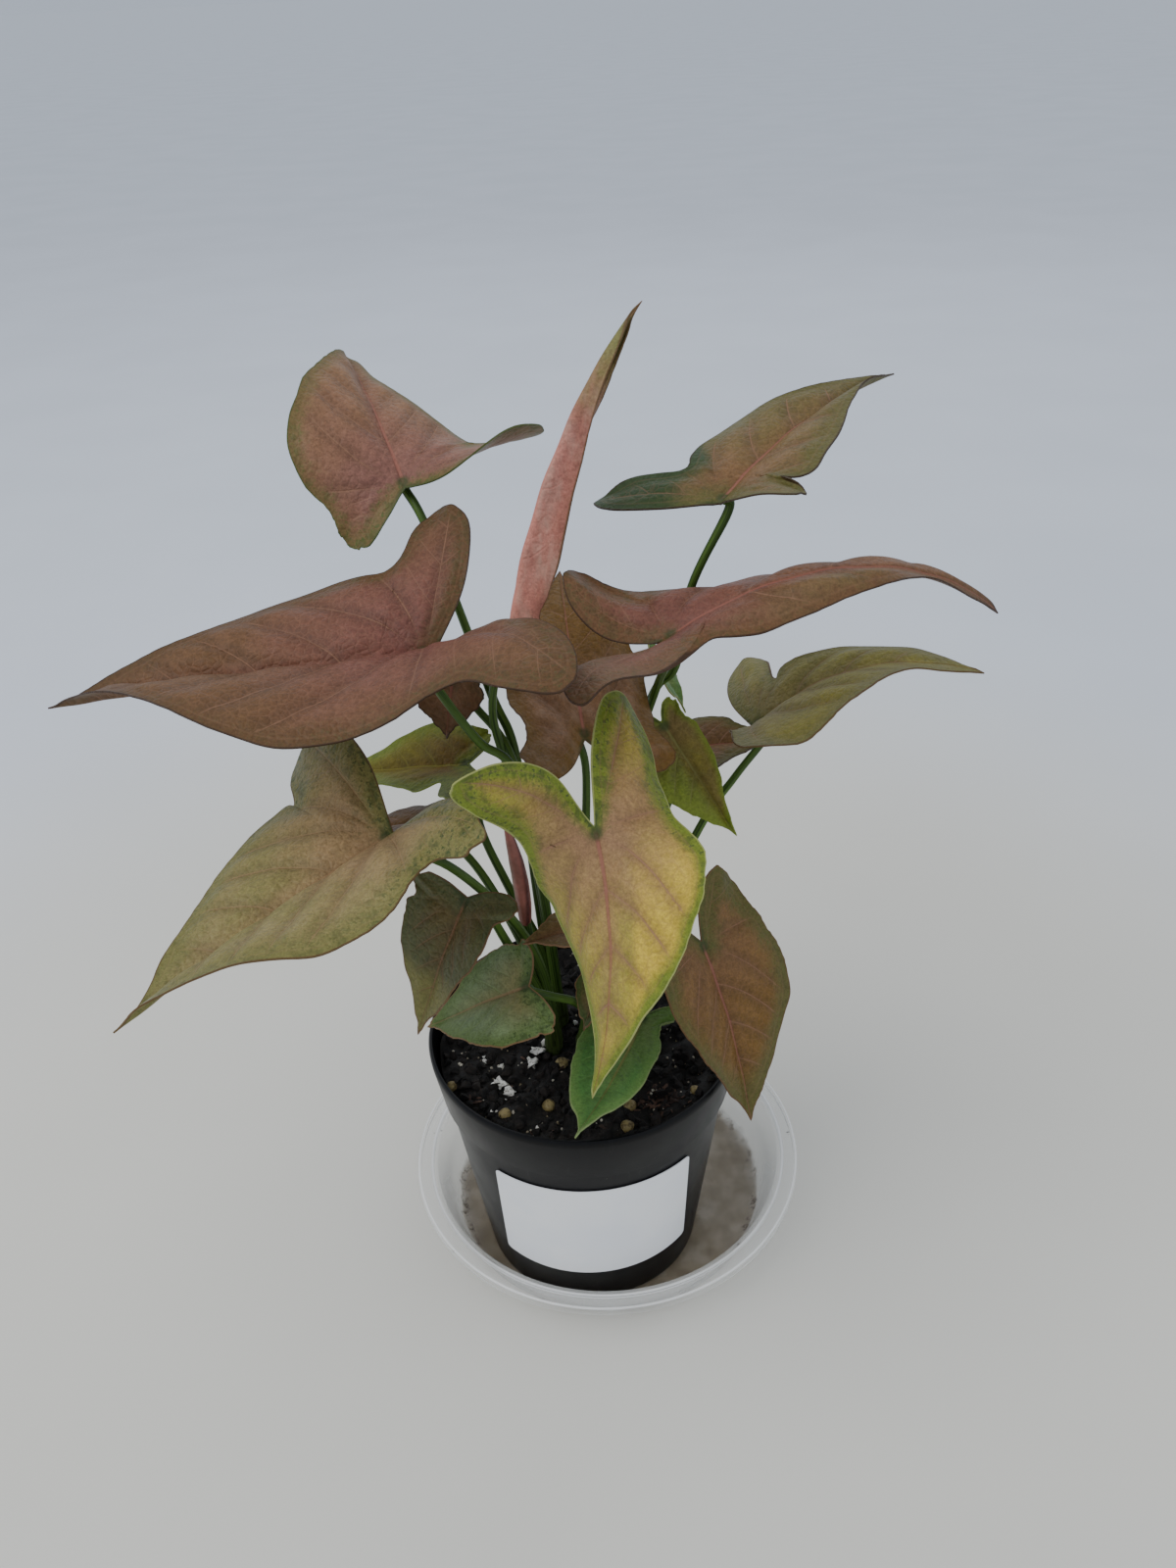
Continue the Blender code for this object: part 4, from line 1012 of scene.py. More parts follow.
def lobe_number(leaf, flat):
    """The same for the small branches of a lobe's vein, with the share in which they show."""
    x, y = flat[:, 0], flat[:, 1]
    left = y >= 0
    turn = np.radians(np.where(left, *leaf.spread))
    size = np.where(left, *leaf.lobe)
    along = x*np.cos(turn)+np.abs(y)*np.sin(turn)
    off = np.abs(np.abs(y)*np.cos(turn)-x*np.sin(turn))
    start = along-0.9*off-0.5*off*off/(0.35*size)
    near = np.abs(np.arctan2(np.abs(y), x)-turn)
    return start/(LOBE_SPACING*size), ease(0.1*size, 0.3*size, start)*ease(0.95, 0.55, near)


def spacing(number, leaf, flat):
    """Millimetres from one whole number to the next."""
    reach = 0.05
    slopes = []
    for step in np.eye(2)*reach:
        change = number(leaf, flat+step)-number(leaf, flat-step)
        slopes.append(change/(2*reach))
    return np.clip(1/np.maximum(np.hypot(*slopes), 1e-3), 0.5, 60)


sample = np.array([[40.0, 10.0]])
print("vein number on the first leaf:", vein_number(LEAVES[0], sample))
print("and the spacing there:", spacing(vein_number, LEAVES[0], sample), "mm")

# %% [markdown]
# ## Making a blade
# A square grid would cut the margin into steps, so the grid's columns go round the margin and its rows
# from the hub out to it. Small lifts press the veins into the upper face and swell the blade between
# them. Solidify gives it the thickness of a real leaf, and gives the under face the second finish.

# %% Write the blade maker
BLADE_THICK = 0.5
LARGE_BLADE = 60.0
KEY_COLUMNS = (8, 12)        # columns between two keys of the margin, small and large blades
BLADE_ROWS = (20, 28)
ROW_POWER = 0.8              # under 1, rows crowd together towards the margin
SWELL = 0.012                # how far the blade swells between veins, as a share of its length
FRILL = 0.009                # how far its margin waves up and down in small, likewise


def edge_distance(flat, margin):
    """How far flat points lie from the nearest stretch of the margin."""
    starts, runs = margin[:-1], np.diff(margin, axis=0)
    lengths = np.sum(runs**2, axis=1)
    nearest = np.full(len(flat), np.inf)
    for start, run, length in zip(starts, runs, lengths):
        share = np.clip((flat-start) @ run/length, 0, 1)
        nearest = np.minimum(nearest, np.hypot(*(flat-start-share[:, None]*run).T))
    return nearest


def nibbled(leaf, way):
    """How far the small waves and nicks of a margin stand out, at a way round it."""
    first, second = leaf.length, leaf.width[0]
    nicks = 0.16*np.sin(101*way)*(0.5+0.5*np.sin(6*way+first))
    waves = 0.14*np.sin(37*way+first)+0.24*np.sin(23*way+2*first)+0.28*np.sin(14*way+second)
    return nicks+waves+0.005*leaf.length*(np.sin(9*way+first)+0.7*np.sin(5*way+3*second))


def make_blade(leaf):
    """The dressed blade of one leaf, with the numbers that its finish reads."""
    large = leaf.length > LARGE_BLADE
    columns = len(blade_outline(leaf))*KEY_COLUMNS[large]
    rows = BLADE_ROWS[large]
    hub = np.array([HUB*leaf.length, 0.0])
    margin = fine_margin(leaf, np.linspace(0, 1, columns+1))
    kept = {}

    def place(u, v):
        share, way = v**ROW_POWER, math.tau*u
        from_tip = np.minimum(u, 1-u)
        off_notch = 1-np.sin(np.pi*u)**8
        calm = off_notch*ease(0.0, 0.03, from_tip)
        spoke = fine_margin(leaf, u)-hub
        outward = spoke/np.hypot(*spoke.T)[:, None]
        flat = hub+spoke*share[:, None]
        edge = edge_distance(flat, margin)
        flat = flat+outward*(nibbled(leaf, way)*calm*share**6)[:, None]
        along, aside = flat.T
        number = vein_number(leaf, flat)
        branch, shown = lobe_number(leaf, flat)
        from_stalk = np.hypot(along, aside)
        inside = ease(1.0, 7.0, edge)*ease(2.0, 14.0, from_stalk)
        wave = MARGIN_WAVE_HEIGHT*np.sin(2*MARGIN_WAVES*way+leaf.length)*share**2*off_notch
        frill = FRILL*np.sin(11*way+leaf.width[1])*share**4*calm*ease(0.0, 0.1, from_tip)
        swell = SWELL*np.abs(np.sin(np.pi*number))**0.8*inside*ease(1.0, 7.0, np.abs(aside))
        small = 0.10*shown*np.cos(math.tau*branch)*inside
        groove = 0.45*np.exp(-(aside/1.1)**2)*ease(-1.0, 3.0, along)*ease(0, 3, edge)
        ripple = 0.25*np.sin(0.29*along+leaf.length)*np.sin(0.37*aside+1.0)*inside
        lift = leaf.length*(wave+frill+swell)-small-groove+ripple
        kept["plan"] = np.column_stack([flat/leaf.length, from_stalk/leaf.length])
        kept["vein"] = np.column_stack([number, spacing(vein_number, leaf, flat), inside])
        gap = spacing(lambda one, points: lobe_number(one, points)[0], leaf, flat)
        kept["branch"] = np.column_stack([branch, gap, shown*inside])
        kept["edge"] = np.column_stack([edge, aside, along])
        return stand_blade(leaf, bend_blade(leaf, flat, lift))

    blade = placed_grid("blade"+leaf.name[4:], columns, rows, place)
    for name, values in kept.items():
        store(blade, name, values)
    join_seams(blade, turn_out=False)
    bpy.ops.object.mode_set(mode="EDIT")
    bpy.ops.mesh.select_all(action="SELECT")
    bpy.ops.mesh.flip_normals()
    bpy.ops.object.mode_set(mode="OBJECT")
    blade.data.materials.append(None)
    blade.data.materials.append(None)
    apply_step(blade, "SOLIDIFY", thickness=BLADE_THICK*MM, offset=0.0, material_offset=1)
    smooth(blade, 60)
    return blade


print("blade maker ready")

# %% [markdown]
# ## The finish of a leaf
# A young leaf of this plant is pink round its stalk, brown or olive on its open parts and greener at
# its margin, with clouds, speckles and pale veins. A picture could be wrapped on each blade, but one
# recipe, with colours of its own for each blade, stays sharp from near. Colour follows the blade's own
# numbers, so the pattern bends with it.

# %% Mix the paints
PINK = paint(200, 130, 115)
DUSTY_PINK = paint(180, 118, 105)
OLD_ROSE = paint(165, 105, 92)
ROSE = paint(150, 96, 82)
BLUSH = paint(150, 112, 88)
MAUVE = paint(130, 88, 80)
PLUM = paint(116, 72, 64)
TAN = paint(134, 100, 72)
CHESTNUT = paint(122, 90, 60)
RUSSET = paint(118, 88, 44)
BROWN = paint(106, 76, 50)
BARK = paint(94, 68, 42)
UMBER = paint(60, 42, 30)
SAND = paint(156, 126, 92)
SAGE = paint(142, 130, 86)
KHAKI = paint(122, 118, 68)
DRAB = paint(112, 94, 58)
OLIVE = paint(96, 90, 48)
DUSK = paint(92, 94, 60)
MOSS = paint(72, 84, 40)
PINE = paint(52, 68, 36)
# SUN is the front leaf's golden colour brightened by painted light shining through one half of it.
SUN = paint(200, 172, 65)
GOLD = paint(168, 150, 64)
OLD_GOLD = paint(144, 136, 58)
MUSTARD = paint(130, 122, 44)
STRAW = paint(156, 160, 96)
LIME = paint(116, 130, 44)
FERN = paint(98, 118, 66)
GREEN = paint(72, 114, 56)
FRESH = paint(95, 130, 66)
PALE_GREEN = paint(130, 148, 94)
GREY_GREEN = paint(124, 142, 100)

print("paints mixed, from pink", PINK, "to grey green", GREY_GREEN)

# %% Say what a look holds
@dataclass
class Look:
    """The colours of one blade, and how far they reach."""
    heart: tuple                 # round the stalk
    field: tuple                 # open blade
    cloud: tuple                 # patches in it
    margin: tuple                # near the edge
    rim: tuple = BARK            # the fine line on the edge
    midrib: tuple = ROSE
    vein: tuple = BLUSH
    back: tuple = CHESTNUT       # under face
    heart_reach: float = 0.5     # share of the length
    margin_reach: float = 8.0    # mm
    clouds: float = 0.6
    speck: tuple = PINE
    specks: float = 0.45         # how many dark specks near the margin
    tip: tuple = ()              # colour of the far end
    tip_from: float = 0.5
    half: tuple = ()             # colour of one half
    half_side: int = -1          # 1 left, -1 right
    half_from: float = 1.2       # where it starts, mm off the midrib
    lobe: tuple = ()             # colour of that side's lobe
    painted_sheen: float = 0.0           # painted whitish sheen
    vein_share: float = 0.55
    vein_glow: float = 0.12      # how much a vein tints the blade beside it


print("a heart usually reaches", Look.heart_reach, "of a blade's length")

# %% Share what both faces need
MIDRIB_WIDTH = 0.9
VEIN_WIDTH = 0.42
LEAF_GLOSS = 0.2             # less than half a dielectric's usual shine, for these leaves are dull


class BladeFinish(Finish):
    """What both faces of a blade share."""

    def __init__(self, name, look):
        super().__init__(name)
        self.look = look
        self.plan, self.vein, self.edge = (self.stored(field) for field in ("plan", "vein", "edge"))

    def vein_line(self, field, width):
        """1 on a vein and 0 beside it, from a vein number and the gap between two veins."""
        off = self.times(self.maths("PINGPONG", field[0], 0.5), field[1])
        return self.step(off, width, width*0.25)

    def midrib(self, wide, narrow, core):
        """1 on the midrib, from wide at the stalk to narrow at the tip, full up to its core."""
        width = self.step(self.plan[0], 0.0, 1.0, MIDRIB_WIDTH*wide, MIDRIB_WIDTH*narrow)
        off = self.maths("DIVIDE", self.size(self.edge[1]), width)
        return self.times(self.step(off, 1.0, core), self.step(self.edge[2], -1.5, 0.5))


print("a midrib is", MIDRIB_WIDTH, "mm wide to each side at the stalk")

# %% Paint the upper face
# The whitish colour of a painted sheen.
SHEEN_PAINT = paint(205, 180, 160)
JOINT = PINE                 # where the stalk meets the blade


class BladeFace(BladeFinish):
    """The upper face, painted in layers."""

    def __init__(self, name, look):
        super().__init__(name, look)
        self.branch = self.stored("branch")
        self.drift = self.grain(16, 4, 0.6)
        self.fleck = self.grain(1.5, 3, 0.65)
        self.pepper = self.grain(0.55, 2, 0.6)
        near = self.plus(self.edge[0], self.sway(self.drift, look.margin_reach*1.6))
        self.near = self.plus(near, self.step(self.plan[0], 0.10, -0.35, 0.0, -0.6*look.margin_reach))
        far = self.plus(self.plan[0], self.sway(self.drift, 0.4))
        self.far = self.step(far, look.tip_from-0.10, look.tip_from+0.14)
        self.over = self.times(self.edge[1], float(look.half_side))

    def open_blade(self):
        look = self.look
        patches = self.times(self.step(self.drift, 0.42, 0.62), look.clouds)
        colour = self.blend(patches, look.field, look.cloud)
        if look.half:
            over = self.plus(self.over, self.sway(self.drift, 6.0))
            share = self.times(self.step(over, look.half_from-2.2, look.half_from+2.3),
                               self.step(self.plan[0], 0.0, 0.2))
            colour = self.blend(share, colour, look.half)
        return colour

    def heart(self, colour):
        """The blush round the stalk, which runs on beside the midrib."""
        reach = self.plus(self.plan[2], self.sway(self.drift, 0.35))
        along = self.times(self.step(self.size(self.edge[1]), 7.0, 0.5), self.step(self.plan[0], 0.95, 0.15))
        share = self.most(self.step(reach, self.look.heart_reach, 0.03), self.times(along, 0.75))
        return self.blend(self.times(share, 0.9), colour, self.look.heart)

    def swells(self, colour):
        """Painted shade in the grooves beside the veins and painted light on the swells between them, with a
        soft tint of the veins beside them.
        """
        off = self.times(self.maths("PINGPONG", self.vein[0], 0.5), self.vein[1])
        shaded = self.shade(colour, self.step(off, 0.3, 4.5, 0.80, 1.08))
        colour = self.blend(self.times(self.vein[2], 0.9), colour, shaded)
        soft = self.times(self.step(off, 2.2, 0.1), self.times(self.vein[2], self.look.vein_glow))
        return self.blend(soft, colour, self.look.vein)

    def outer_parts(self, colour):
        """The margin, the far end and one lobe."""
        look = self.look
        margin = self.step(self.near, look.margin_reach, look.margin_reach*0.1)
        colour = self.blend(margin, colour, look.margin)
        if look.tip:
            colour = self.blend(self.far, colour, look.tip)
        if look.lobe:
            over = self.plus(self.over, self.times(self.edge[2], -1.2))
            share = self.times(self.step(over, -4.0, 2.0), self.step(self.plan[2], 0.10, 0.22))
            colour = self.blend(share, colour, look.lobe)
        return colour

    def speckles(self, colour):
        """Dark specks near the margin, fine grain all over, and a painted whitish sheen."""
        look = self.look
        blotch = self.times(self.step(self.grain(3.6, 3, 0.65), 0.50, 0.60), 0.6)
        dark = self.most(self.step(self.fleck, 0.55, 0.64), blotch)
        zone = self.times(self.step(self.near, look.margin_reach*1.6, 0.0),
                          self.step(self.plan[0], 0.0, 0.5, look.specks, look.specks*0.5))
        colour = self.blend(self.times(dark, zone), colour, look.speck)
        colour = self.tone(self.tone(colour, 0.18, self.fleck), 0.16, self.pepper)
        # A painted whitish sheen in streaks along the blade, fading towards its far end.
        if look.painted_sheen:
            sheen_share = self.step(self.grain(7, 4, 0.65, (1, 1, 0.3)), 0.42, 0.72)
            sheen_share = self.times(sheen_share, self.step(self.far, 0.0, 1.0, look.painted_sheen, 0.0))
            colour = self.blend(sheen_share, colour, SHEEN_PAINT)
        return colour

    def veins(self, colour):
        """The side veins, small branches, the net between them, and the seam inside the margin."""
        lines = self.times(self.vein_line(self.vein, VEIN_WIDTH), self.vein[2])
        self.lines = self.times(lines, self.step(self.drift, 0.36, 0.62, 0.45, 1.0))
        small = self.times(self.vein_line(self.branch, VEIN_WIDTH*0.7), self.times(self.branch[2], 0.6))
        self.mesh = self.cells(2.6, "DISTANCE_TO_EDGE")
        net = self.times(self.step(self.mesh, 0.10, 0.02), self.times(self.vein[2], 0.24))
        seam = self.times(self.step(self.size(self.plus(self.edge[0], -2.6)), 0.5, 0.1), 0.22)
        self.faint = self.most(self.most(small, net), seam)
        share = self.times(self.most(self.lines, self.faint), self.look.vein_share)
        return self.blend(share, colour, self.look.vein)

    def rib_and_rim(self, colour):
        """The midrib, the green joint of the stalk, and the fine line on the edge."""
        self.rib = self.midrib(1.0, 0.3, 0.35)
        fades = self.step(self.plan[0], 0.9, 0.1, 0.4, 0.8)
        colour = self.blend(self.times(self.rib, fades), colour, self.look.midrib)
        joint = self.distance(self.edge[1], self.edge[2])
        notch = self.times(self.step(joint, 11.0, 3.0), self.step(self.edge[0], 1.6, 0.5))
        green = self.most(self.step(joint, 2.8, 1.0), notch)
        colour = self.blend(self.times(green, 0.75), colour, JOINT)
        return self.blend(self.times(self.step(self.edge[0], 0.5, 0.2), 0.85), colour, self.look.rim)

    def painted(self):
        """Lay the layers on and press the veins in."""
        colour = self.open_blade()
        layers = (self.heart, self.swells, self.outer_parts, self.speckles, self.veins, self.rib_and_rim)
        for layer in layers:
            colour = layer(colour)
        press = self.most(self.most(self.lines, self.rib), self.times(self.faint, 0.5))
        height = self.plus(self.times(press, -0.7), self.times(self.fleck, 0.5))
        height = self.plus(height, self.step(self.mesh, 0.0, 0.3, 0.0, 0.5))
        self.relief(self.plus(height, self.times(self.pepper, 0.25)), 0.40, 0.6)
        rough = self.step(self.plus(self.drift, self.times(self.fleck, 0.3)), 0.4, 0.9, 0.40, 0.56)
        return self.done(colour, rough, Specular_IOR_Level=LEAF_GLOSS)


print("upper face ready")

# %% Paint the under face
PALE_VEIN = paint(205, 190, 150)


class BladeBack(BladeFinish):
    """The under face: duller, with paler veins that stand up."""

    def painted(self):
        look = self.look
        drift = self.grain(14, 4, 0.6)
        fleck = self.grain(1.2, 3, 0.65)
        colour = self.blend(self.step(drift, 0.35, 0.7), look.back, tuple(c*0.8 for c in look.back))
        colour = self.blend(self.times(self.step(self.edge[0], 5.0, 0.5), 0.5), colour, look.margin)
        colour = self.tone(colour, 0.10, fleck)
        lines = self.times(self.vein_line(self.vein, VEIN_WIDTH*1.2), self.vein[2])
        raised = self.most(self.times(lines, 0.6), self.midrib(1.5, 0.5, 0.3))
        pale = tuple(0.6*own+0.4*vein for own, vein in zip(look.back, PALE_VEIN))
        colour = self.blend(self.times(raised, 0.6), colour, pale)
        colour = self.blend(self.step(self.edge[0], 0.75, 0.3), colour, look.rim)
        self.relief(self.plus(self.times(raised, 0.9), self.times(fleck, 0.3)), 0.4, 0.6)
        return self.done(colour, self.step(drift, 0.3, 0.7, 0.42, 0.58), Specular_IOR_Level=LEAF_GLOSS)


print("under face ready")

# %% Choose each blade's colours
LOOKS = {
    "leaf_upper_left": Look(MAUVE, TAN, CHESTNUT, DRAB, rim=MOSS, back=TAN, heart_reach=0.6,
        margin_reach=5.5, speck=MOSS, specks=0.9),
    "leaf_big_left": Look(PLUM, BROWN, BARK, BARK, rim=UMBER, heart_reach=0.6, margin_reach=7,
        vein_glow=0.05),
    "leaf_folded_top": Look(PINK, DUSTY_PINK, OLD_ROSE, ROSE, midrib=PINK, vein=PINK, back=OLIVE,
        tip=KHAKI, tip_from=0.70, specks=0.3, painted_sheen=0.36),
    "leaf_upper_right": Look(CHESTNUT, DRAB, OLIVE, OLIVE, rim=UMBER, back=MOSS, margin_reach=9,
        lobe=PINE, half_side=1),
    "leaf_long_right": Look(PLUM, CHESTNUT, BROWN, BROWN, rim=UMBER, heart_reach=0.55, half=DRAB,
        half_from=3.0),
    "leaf_mid_right": Look(SAGE, OLD_GOLD, KHAKI, KHAKI, midrib=SAND, vein=SAND, back=DRAB,
        heart_reach=0.45),
    # The front leaf's bright yellow half is its golden colour with painted light shining through the blade.
    "leaf_front": Look(BLUSH, GOLD, OLD_GOLD, LIME, rim=STRAW, back=LIME, heart_reach=0.55,
        margin_reach=5, speck=MOSS, specks=1.0, clouds=0.8, half=SUN, half_side=1, half_from=9.0,
        vein_share=0.8, vein_glow=0.3),
    # The lower left leaf's pale sage field is its grey-green colour with a painted soft white sheen mixed
    # in.
    "leaf_lower_left": Look(SAND, SAGE, KHAKI, KHAKI, midrib=SAND, vein=SAND, back=KHAKI,
        margin_reach=10, specks=0.9),
    "leaf_dark_left": Look(DRAB, DUSK, DUSK, DUSK, rim=BROWN, midrib=TAN, vein=TAN, back=DUSK,
        clouds=0.5, specks=0.5, tip=KHAKI, tip_from=0.55),
    "leaf_heart_small": Look(SAGE, GREY_GREEN, GREY_GREEN, FERN, rim=TAN, midrib=SAND, vein=PALE_GREEN,
        back=FERN, margin_reach=7, specks=0.9),
    "leaf_low_green": Look(FERN, GREEN, GREEN, FRESH, rim=PALE_GREEN, midrib=KHAKI, vein=FRESH,
        back=FRESH, margin_reach=4, specks=0.1),
    "leaf_lower_right": Look(CHESTNUT, RUSSET, RUSSET, OLIVE, rim=BROWN, back=BROWN, heart_reach=0.6,
        margin_reach=9, speck=MOSS, specks=0.6, tip=OLIVE, tip_from=0.74),
    "leaf_centre": Look(TAN, TAN, CHESTNUT, RUSSET, midrib=OLD_ROSE, back=TAN, heart_reach=0.55,
        tip=RUSSET, tip_from=0.35, specks=0.2, painted_sheen=0.16),
    "leaf_yellow_left": Look(RUSSET, MUSTARD, MUSTARD, LIME, rim=LIME, midrib=OLD_GOLD, vein=OLD_GOLD,
        back=LIME, heart_reach=0.6, speck=MOSS, specks=0.8),
    "leaf_drooping_right": Look(DRAB, MUSTARD, DRAB, LIME, rim=LIME, midrib=KHAKI, vein=KHAKI, back=LIME,
        half=LIME, margin_reach=3),
    "leaf_behind_right": Look(CHESTNUT, RUSSET, BROWN, OLIVE, rim=UMBER, back=DRAB),
    "leaf_behind_left": Look(CHESTNUT, RUSSET, BROWN, BARK, rim=UMBER, back=BROWN),
    "leaf_under_left": Look(TAN, TAN, CHESTNUT, BROWN, rim=UMBER),
    "leaf_sliver_green": Look(PALE_GREEN, PALE_GREEN, FRESH, FRESH, rim=STRAW, midrib=STRAW, vein=STRAW,
        back=PALE_GREEN, specks=0.2),
    "leaf_tiny_brown": Look(CHESTNUT, CHESTNUT, BROWN, DRAB, rim=TAN, midrib=TAN, vein=TAN, back=BROWN,
        specks=0.3),
    "leaf_low_brown": Look(CHESTNUT, BROWN, BARK, MOSS, rim=TAN, midrib=TAN, vein=TAN, back=BARK,
        specks=0.4),
}

for leaf in LEAVES:
    look = LOOKS[leaf.name]
    blade = make_blade(leaf)
    hand_over(blade, leaf.slot, leaf.name, BladeFace("face"+leaf.name[4:], look).painted(),
              BladeBack("back"+leaf.name[4:], look).painted())

# %% [markdown]
# ## Leaf stalks
# Each stalk leaves a short stem at the soil, wrapped at its foot by a sheath, and rises as a smooth
# green rod with fine darker lines and a shallow channel along one side. A curve with a round bevel has
# no channel, so a grid is rolled into a tube. It follows the same points as the measured solid and goes
# on to the blade's under face.

# %% Write the tube maker
STALK_RISE = 7.0             # first upright run of a stalk, inside its sheath
STALK_SIDES = 16
ROUTE_STEPS = 9              # points of a stalk from one key point to the next


def smooth_route(points):
    """Points on a curve through the given ones."""
    keys = np.array([tuple(p) for p in points])
    last = len(keys)-1
    return through(keys, np.linspace(0, last, last*ROUTE_STEPS+1))


def risen(start):
    """A stalk's first two points: its start, and the end of its upright run."""
    return [start, start+Vector((0, 0, STALK_RISE))]


def rolled_tube(name, route, radius_at, sides=STALK_SIDES, shape_at=None):
    """A grid rolled round a route; radius_at(share along), shape_at(turn, share) scales it."""
    ways = np.gradient(route, axis=0)
    ways /= np.linalg.norm(ways, axis=1)[:, None]
    lengths = np.concatenate([[0], np.cumsum(np.linalg.norm(np.diff(route, axis=0), axis=1))])
    across = [np.cross(ways[0], (0.3, 1.0, 0.1))]
    for way in ways[1:]:
        across.append(across[-1]-way*(across[-1] @ way))
    across = np.array(across)
    across /= np.linalg.norm(across, axis=1)[:, None]
    other = np.cross(ways, across)
    rows = len(route)+1

    def place(u, v):
        i = np.clip(np.rint(v*rows).astype(int)-1, 0, len(route)-1)
        capped = (v < 0.5/rows) | (v > 1-0.5/rows)
        share = lengths[i]/lengths[-1]
        radius = np.where(capped, 0.0, radius_at(share))
        turn = math.tau*u
        if shape_at:
            radius = radius*shape_at(turn, share)
        return route[i]+radius[:, None]*(np.cos(turn)[:, None]*across[i]+np.sin(turn)[:, None]*other[i])

    tube = placed_grid(name, sides, rows, place)
    join_seams(tube)
    return tube


print("a tube has", STALK_SIDES, "sides")

# %% Grow stems and stalks
SHEATH_RADIUS = 2.1
STALK_FOOT = 1.9
STALK_NECK = 1.35
STALK_APART = 1.5            # from the stem's axis, where a stalk leaves it
STALK_STAGGER = 1.3          # how far each leaves it above the one before
NECK_RUN = 4.5               # last run, square to its blade
NECK_SINK = 0.2              # and how far that ends under the blade's middle
STEM_FOOT = 78.0
STEM_TOP = 105.0
STEM_RADIUS = 2.6


def channel(turn, share):
    """A shallow channel down one side of a stalk."""
    return 1-0.16*np.exp(-(np.minimum(turn, math.tau-turn)/0.5)**2)


def stalk_radius(share):
    """Wide where it sheathes the stem, then slim, and a little swollen under the blade."""
    slim = STALK_FOOT+(STALK_NECK-STALK_FOOT)*np.clip(share*1.2, 0, 1)
    sheath = (SHEATH_RADIUS-STALK_FOOT)*np.exp(-(share/0.16)**2)
    return (slim+sheath)*(1+0.10*np.exp(-((share-0.96)/0.03)**2))


def make_stalk(leaf, i, count):
    """One stalk from inside its stem to the under face of its blade."""
    x, y = STEMS[leaf.plantlet]
    turn = math.tau*i/count
    start = Vector((x+STALK_APART*math.cos(turn), y+STALK_APART*math.sin(turn), SOIL_TOP+1+STALK_STAGGER*i))
    face = Vector(blade_axes(leaf)[2])
    end = Vector(leaf.at)-face*NECK_SINK
    route = smooth_route([*risen(start), *leaf.stalk, end-face*NECK_RUN, end])
    return rolled_tube("stalk"+leaf.name[4:], route, stalk_radius, shape_at=channel)


def make_stem(plantlet):
    """The short stem at the soil, with the rings of old leaf scars."""
    x, y = STEMS[plantlet]
    route = np.array([(x, y, z) for z in np.arange(STEM_FOOT, STEM_TOP+1)])

    def girth(share):
        return STEM_RADIUS+0.15*np.cos(share*31)-1.2*np.clip((share-0.45)/0.55, 0, 1)

    return rolled_tube("stem_"+plantlet, route, girth, sides=20)


rods = {}
for plantlet in STEMS:
    own = [leaf for leaf in LEAVES if leaf.plantlet == plantlet]
    rods[plantlet] = [make_stem(plantlet)]+[make_stalk(leaf, i, len(own)) for i, leaf in enumerate(own)]
print("stems and stalks:", sum(len(parts) for parts in rods.values()))

# %% Write the finish of a stalk
def green_rod(name):
    """Dark green skin with fine darker and paler lines that run along the stalk."""
    rod = Finish(name)
    sides = rod.parts(rod.node("UVMap", {}).outputs[0])
    stripes = rod.node("CombineXYZ", {0: rod.times(sides[0], 26.0), 1: rod.times(sides[1], 3.0)}).outputs[0]
    line = rod.node("TexNoise", {"Vector": stripes, "Scale": 1.0, "Detail": 2.0}).outputs["Fac"]
    height = rod.parts(rod.place())[2]
    drift = rod.grain(14, 3)
    colour = rod.blend(rod.step(line, 0.38, 0.62), paint(42, 64, 26), paint(82, 110, 44))
    colour = rod.blend(rod.times(rod.step(drift, 0.4, 0.7), 0.5), colour, paint(64, 86, 36))
    colour = rod.blend(rod.step(height, 0.115, 0.092, 0.0, 0.6), colour, paint(62, 66, 40))
    rod.relief(line, 0.12, 0.6)
    return rod.done(colour, rod.step(drift, 0.3, 0.7, 0.34, 0.46), Specular_IOR_Level=LEAF_GLOSS)


print("stalk finish ready")

# %% [markdown]
# ## The rolled new leaf
# The next leaf stands among the stalks, still rolled up like a scroll, pink-brown with a greener side.
# A cone would look like a thorn. The tube maker gives this one a spiral section instead, which widens as
# it goes round and drops back at the free edge.

# %% Roll the new leaf
SPEAR_FOOT = Vector((-17, 0, 143))
SPEAR_TIP = Vector((-21, -2, 186))
SPEAR_RADIUS = 2.9
SPEAR_BOW = 1.2
SPEAR_STALK = ((-13, -1, 118), (-16, 0, 134))

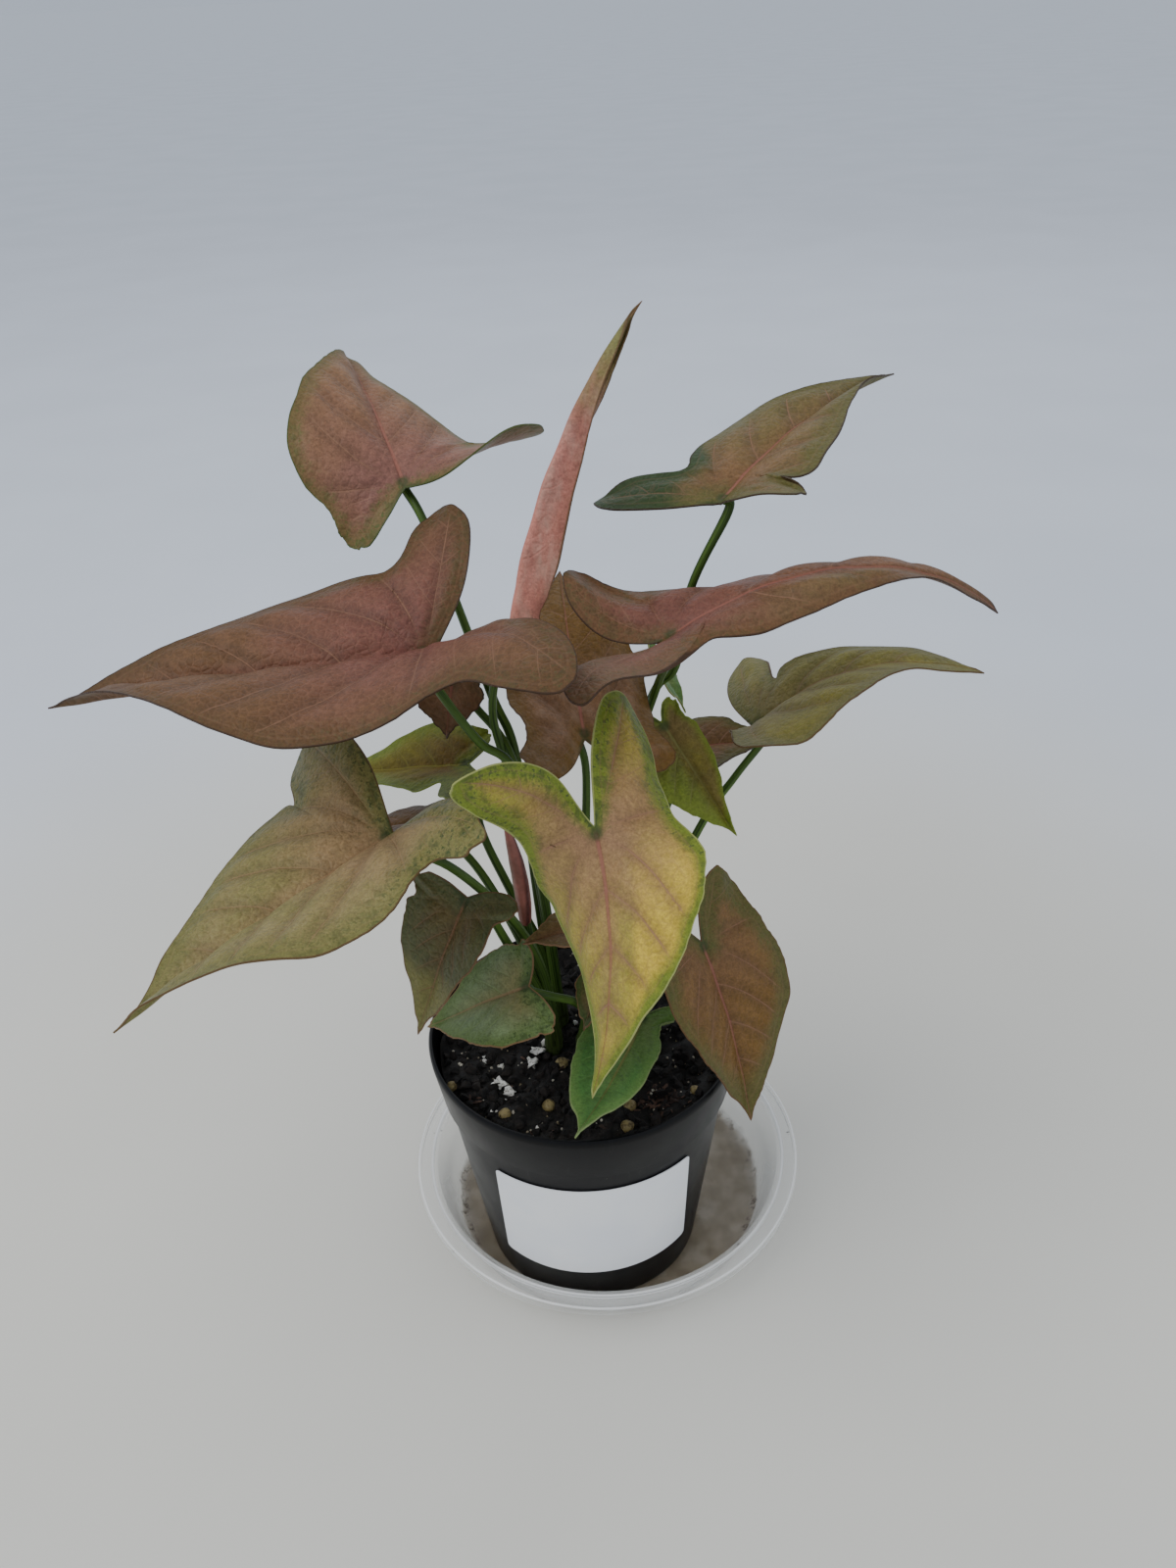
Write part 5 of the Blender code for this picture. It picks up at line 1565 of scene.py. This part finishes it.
x, y = STEMS["left_front"]
start = Vector((x+0.6, y+0.6, SOIL_TOP+6))
route = smooth_route([*risen(start), *SPEAR_STALK, SPEAR_FOOT+Vector((-0.2, 0, 2))])
rods["left_front"].append(rolled_tube("stalk_spear", route, lambda share: 2.2-0.4*share, shape_at=channel))
for plantlet, parts in rods.items():
    rod = joined("leaf_stalks_"+plantlet, parts)
    smooth(rod, 60)
    hand_over(rod, "stalk_green", "stalks_"+plantlet, green_rod("green_stalk_"+plantlet))

spear_route = np.array([SPEAR_FOOT.lerp(SPEAR_TIP, t)+Vector((SPEAR_BOW*math.sin(math.pi*t), 0, 0))
                        for t in np.linspace(0, 1, 60)])


def spear_radius(share):
    """Swollen below its middle, drawn out to a point."""
    return SPEAR_RADIUS*np.interp(share, (0, 0.06, 0.2, 0.42, 0.62, 0.8, 0.93, 1.0),
                                  (0.5, 0.78, 0.95, 1.0, 0.9, 0.65, 0.36, 0.08))


def scroll(turn, share):
    """A spiral section whose free edge winds slowly round."""
    from_edge = np.mod(turn-2.2-1.2*share, math.tau)/math.tau
    return 0.84+0.16*from_edge


spear = rolled_tube("rolled_new_leaf", spear_route, spear_radius, sides=48, shape_at=scroll)
smooth(spear, 50)
waxy = Finish("pink_rolled_leaf")
sides = waxy.parts(waxy.node("UVMap", {}).outputs[0])
turned_by = waxy.plus(waxy.plus(sides[0], -0.35), waxy.times(sides[1], -0.19))
off = waxy.maths("PINGPONG", turned_by, 0.5)
drift = waxy.grain(7, 3)
tint = waxy.blend(waxy.step(drift, 0.35, 0.65), paint(156, 92, 80), paint(132, 80, 66))
tint = waxy.blend(waxy.step(off, 0.10, 0.02), tint, paint(92, 44, 40))
greener = waxy.times(waxy.step(off, 0.22, 0.40), waxy.step(sides[1], 0.75, 0.35))
tint = waxy.blend(greener, tint, paint(92, 98, 52))
tint = waxy.tone(tint, 0.12, waxy.grain(1.4, 3))
waxy.relief(waxy.grain(1.2, 3), 0.15, 0.6)
hand_over(spear, "spear_pink", "spear_new_leaf", waxy.done(tint, waxy.step(drift, 0.3, 0.7, 0.36, 0.48)))
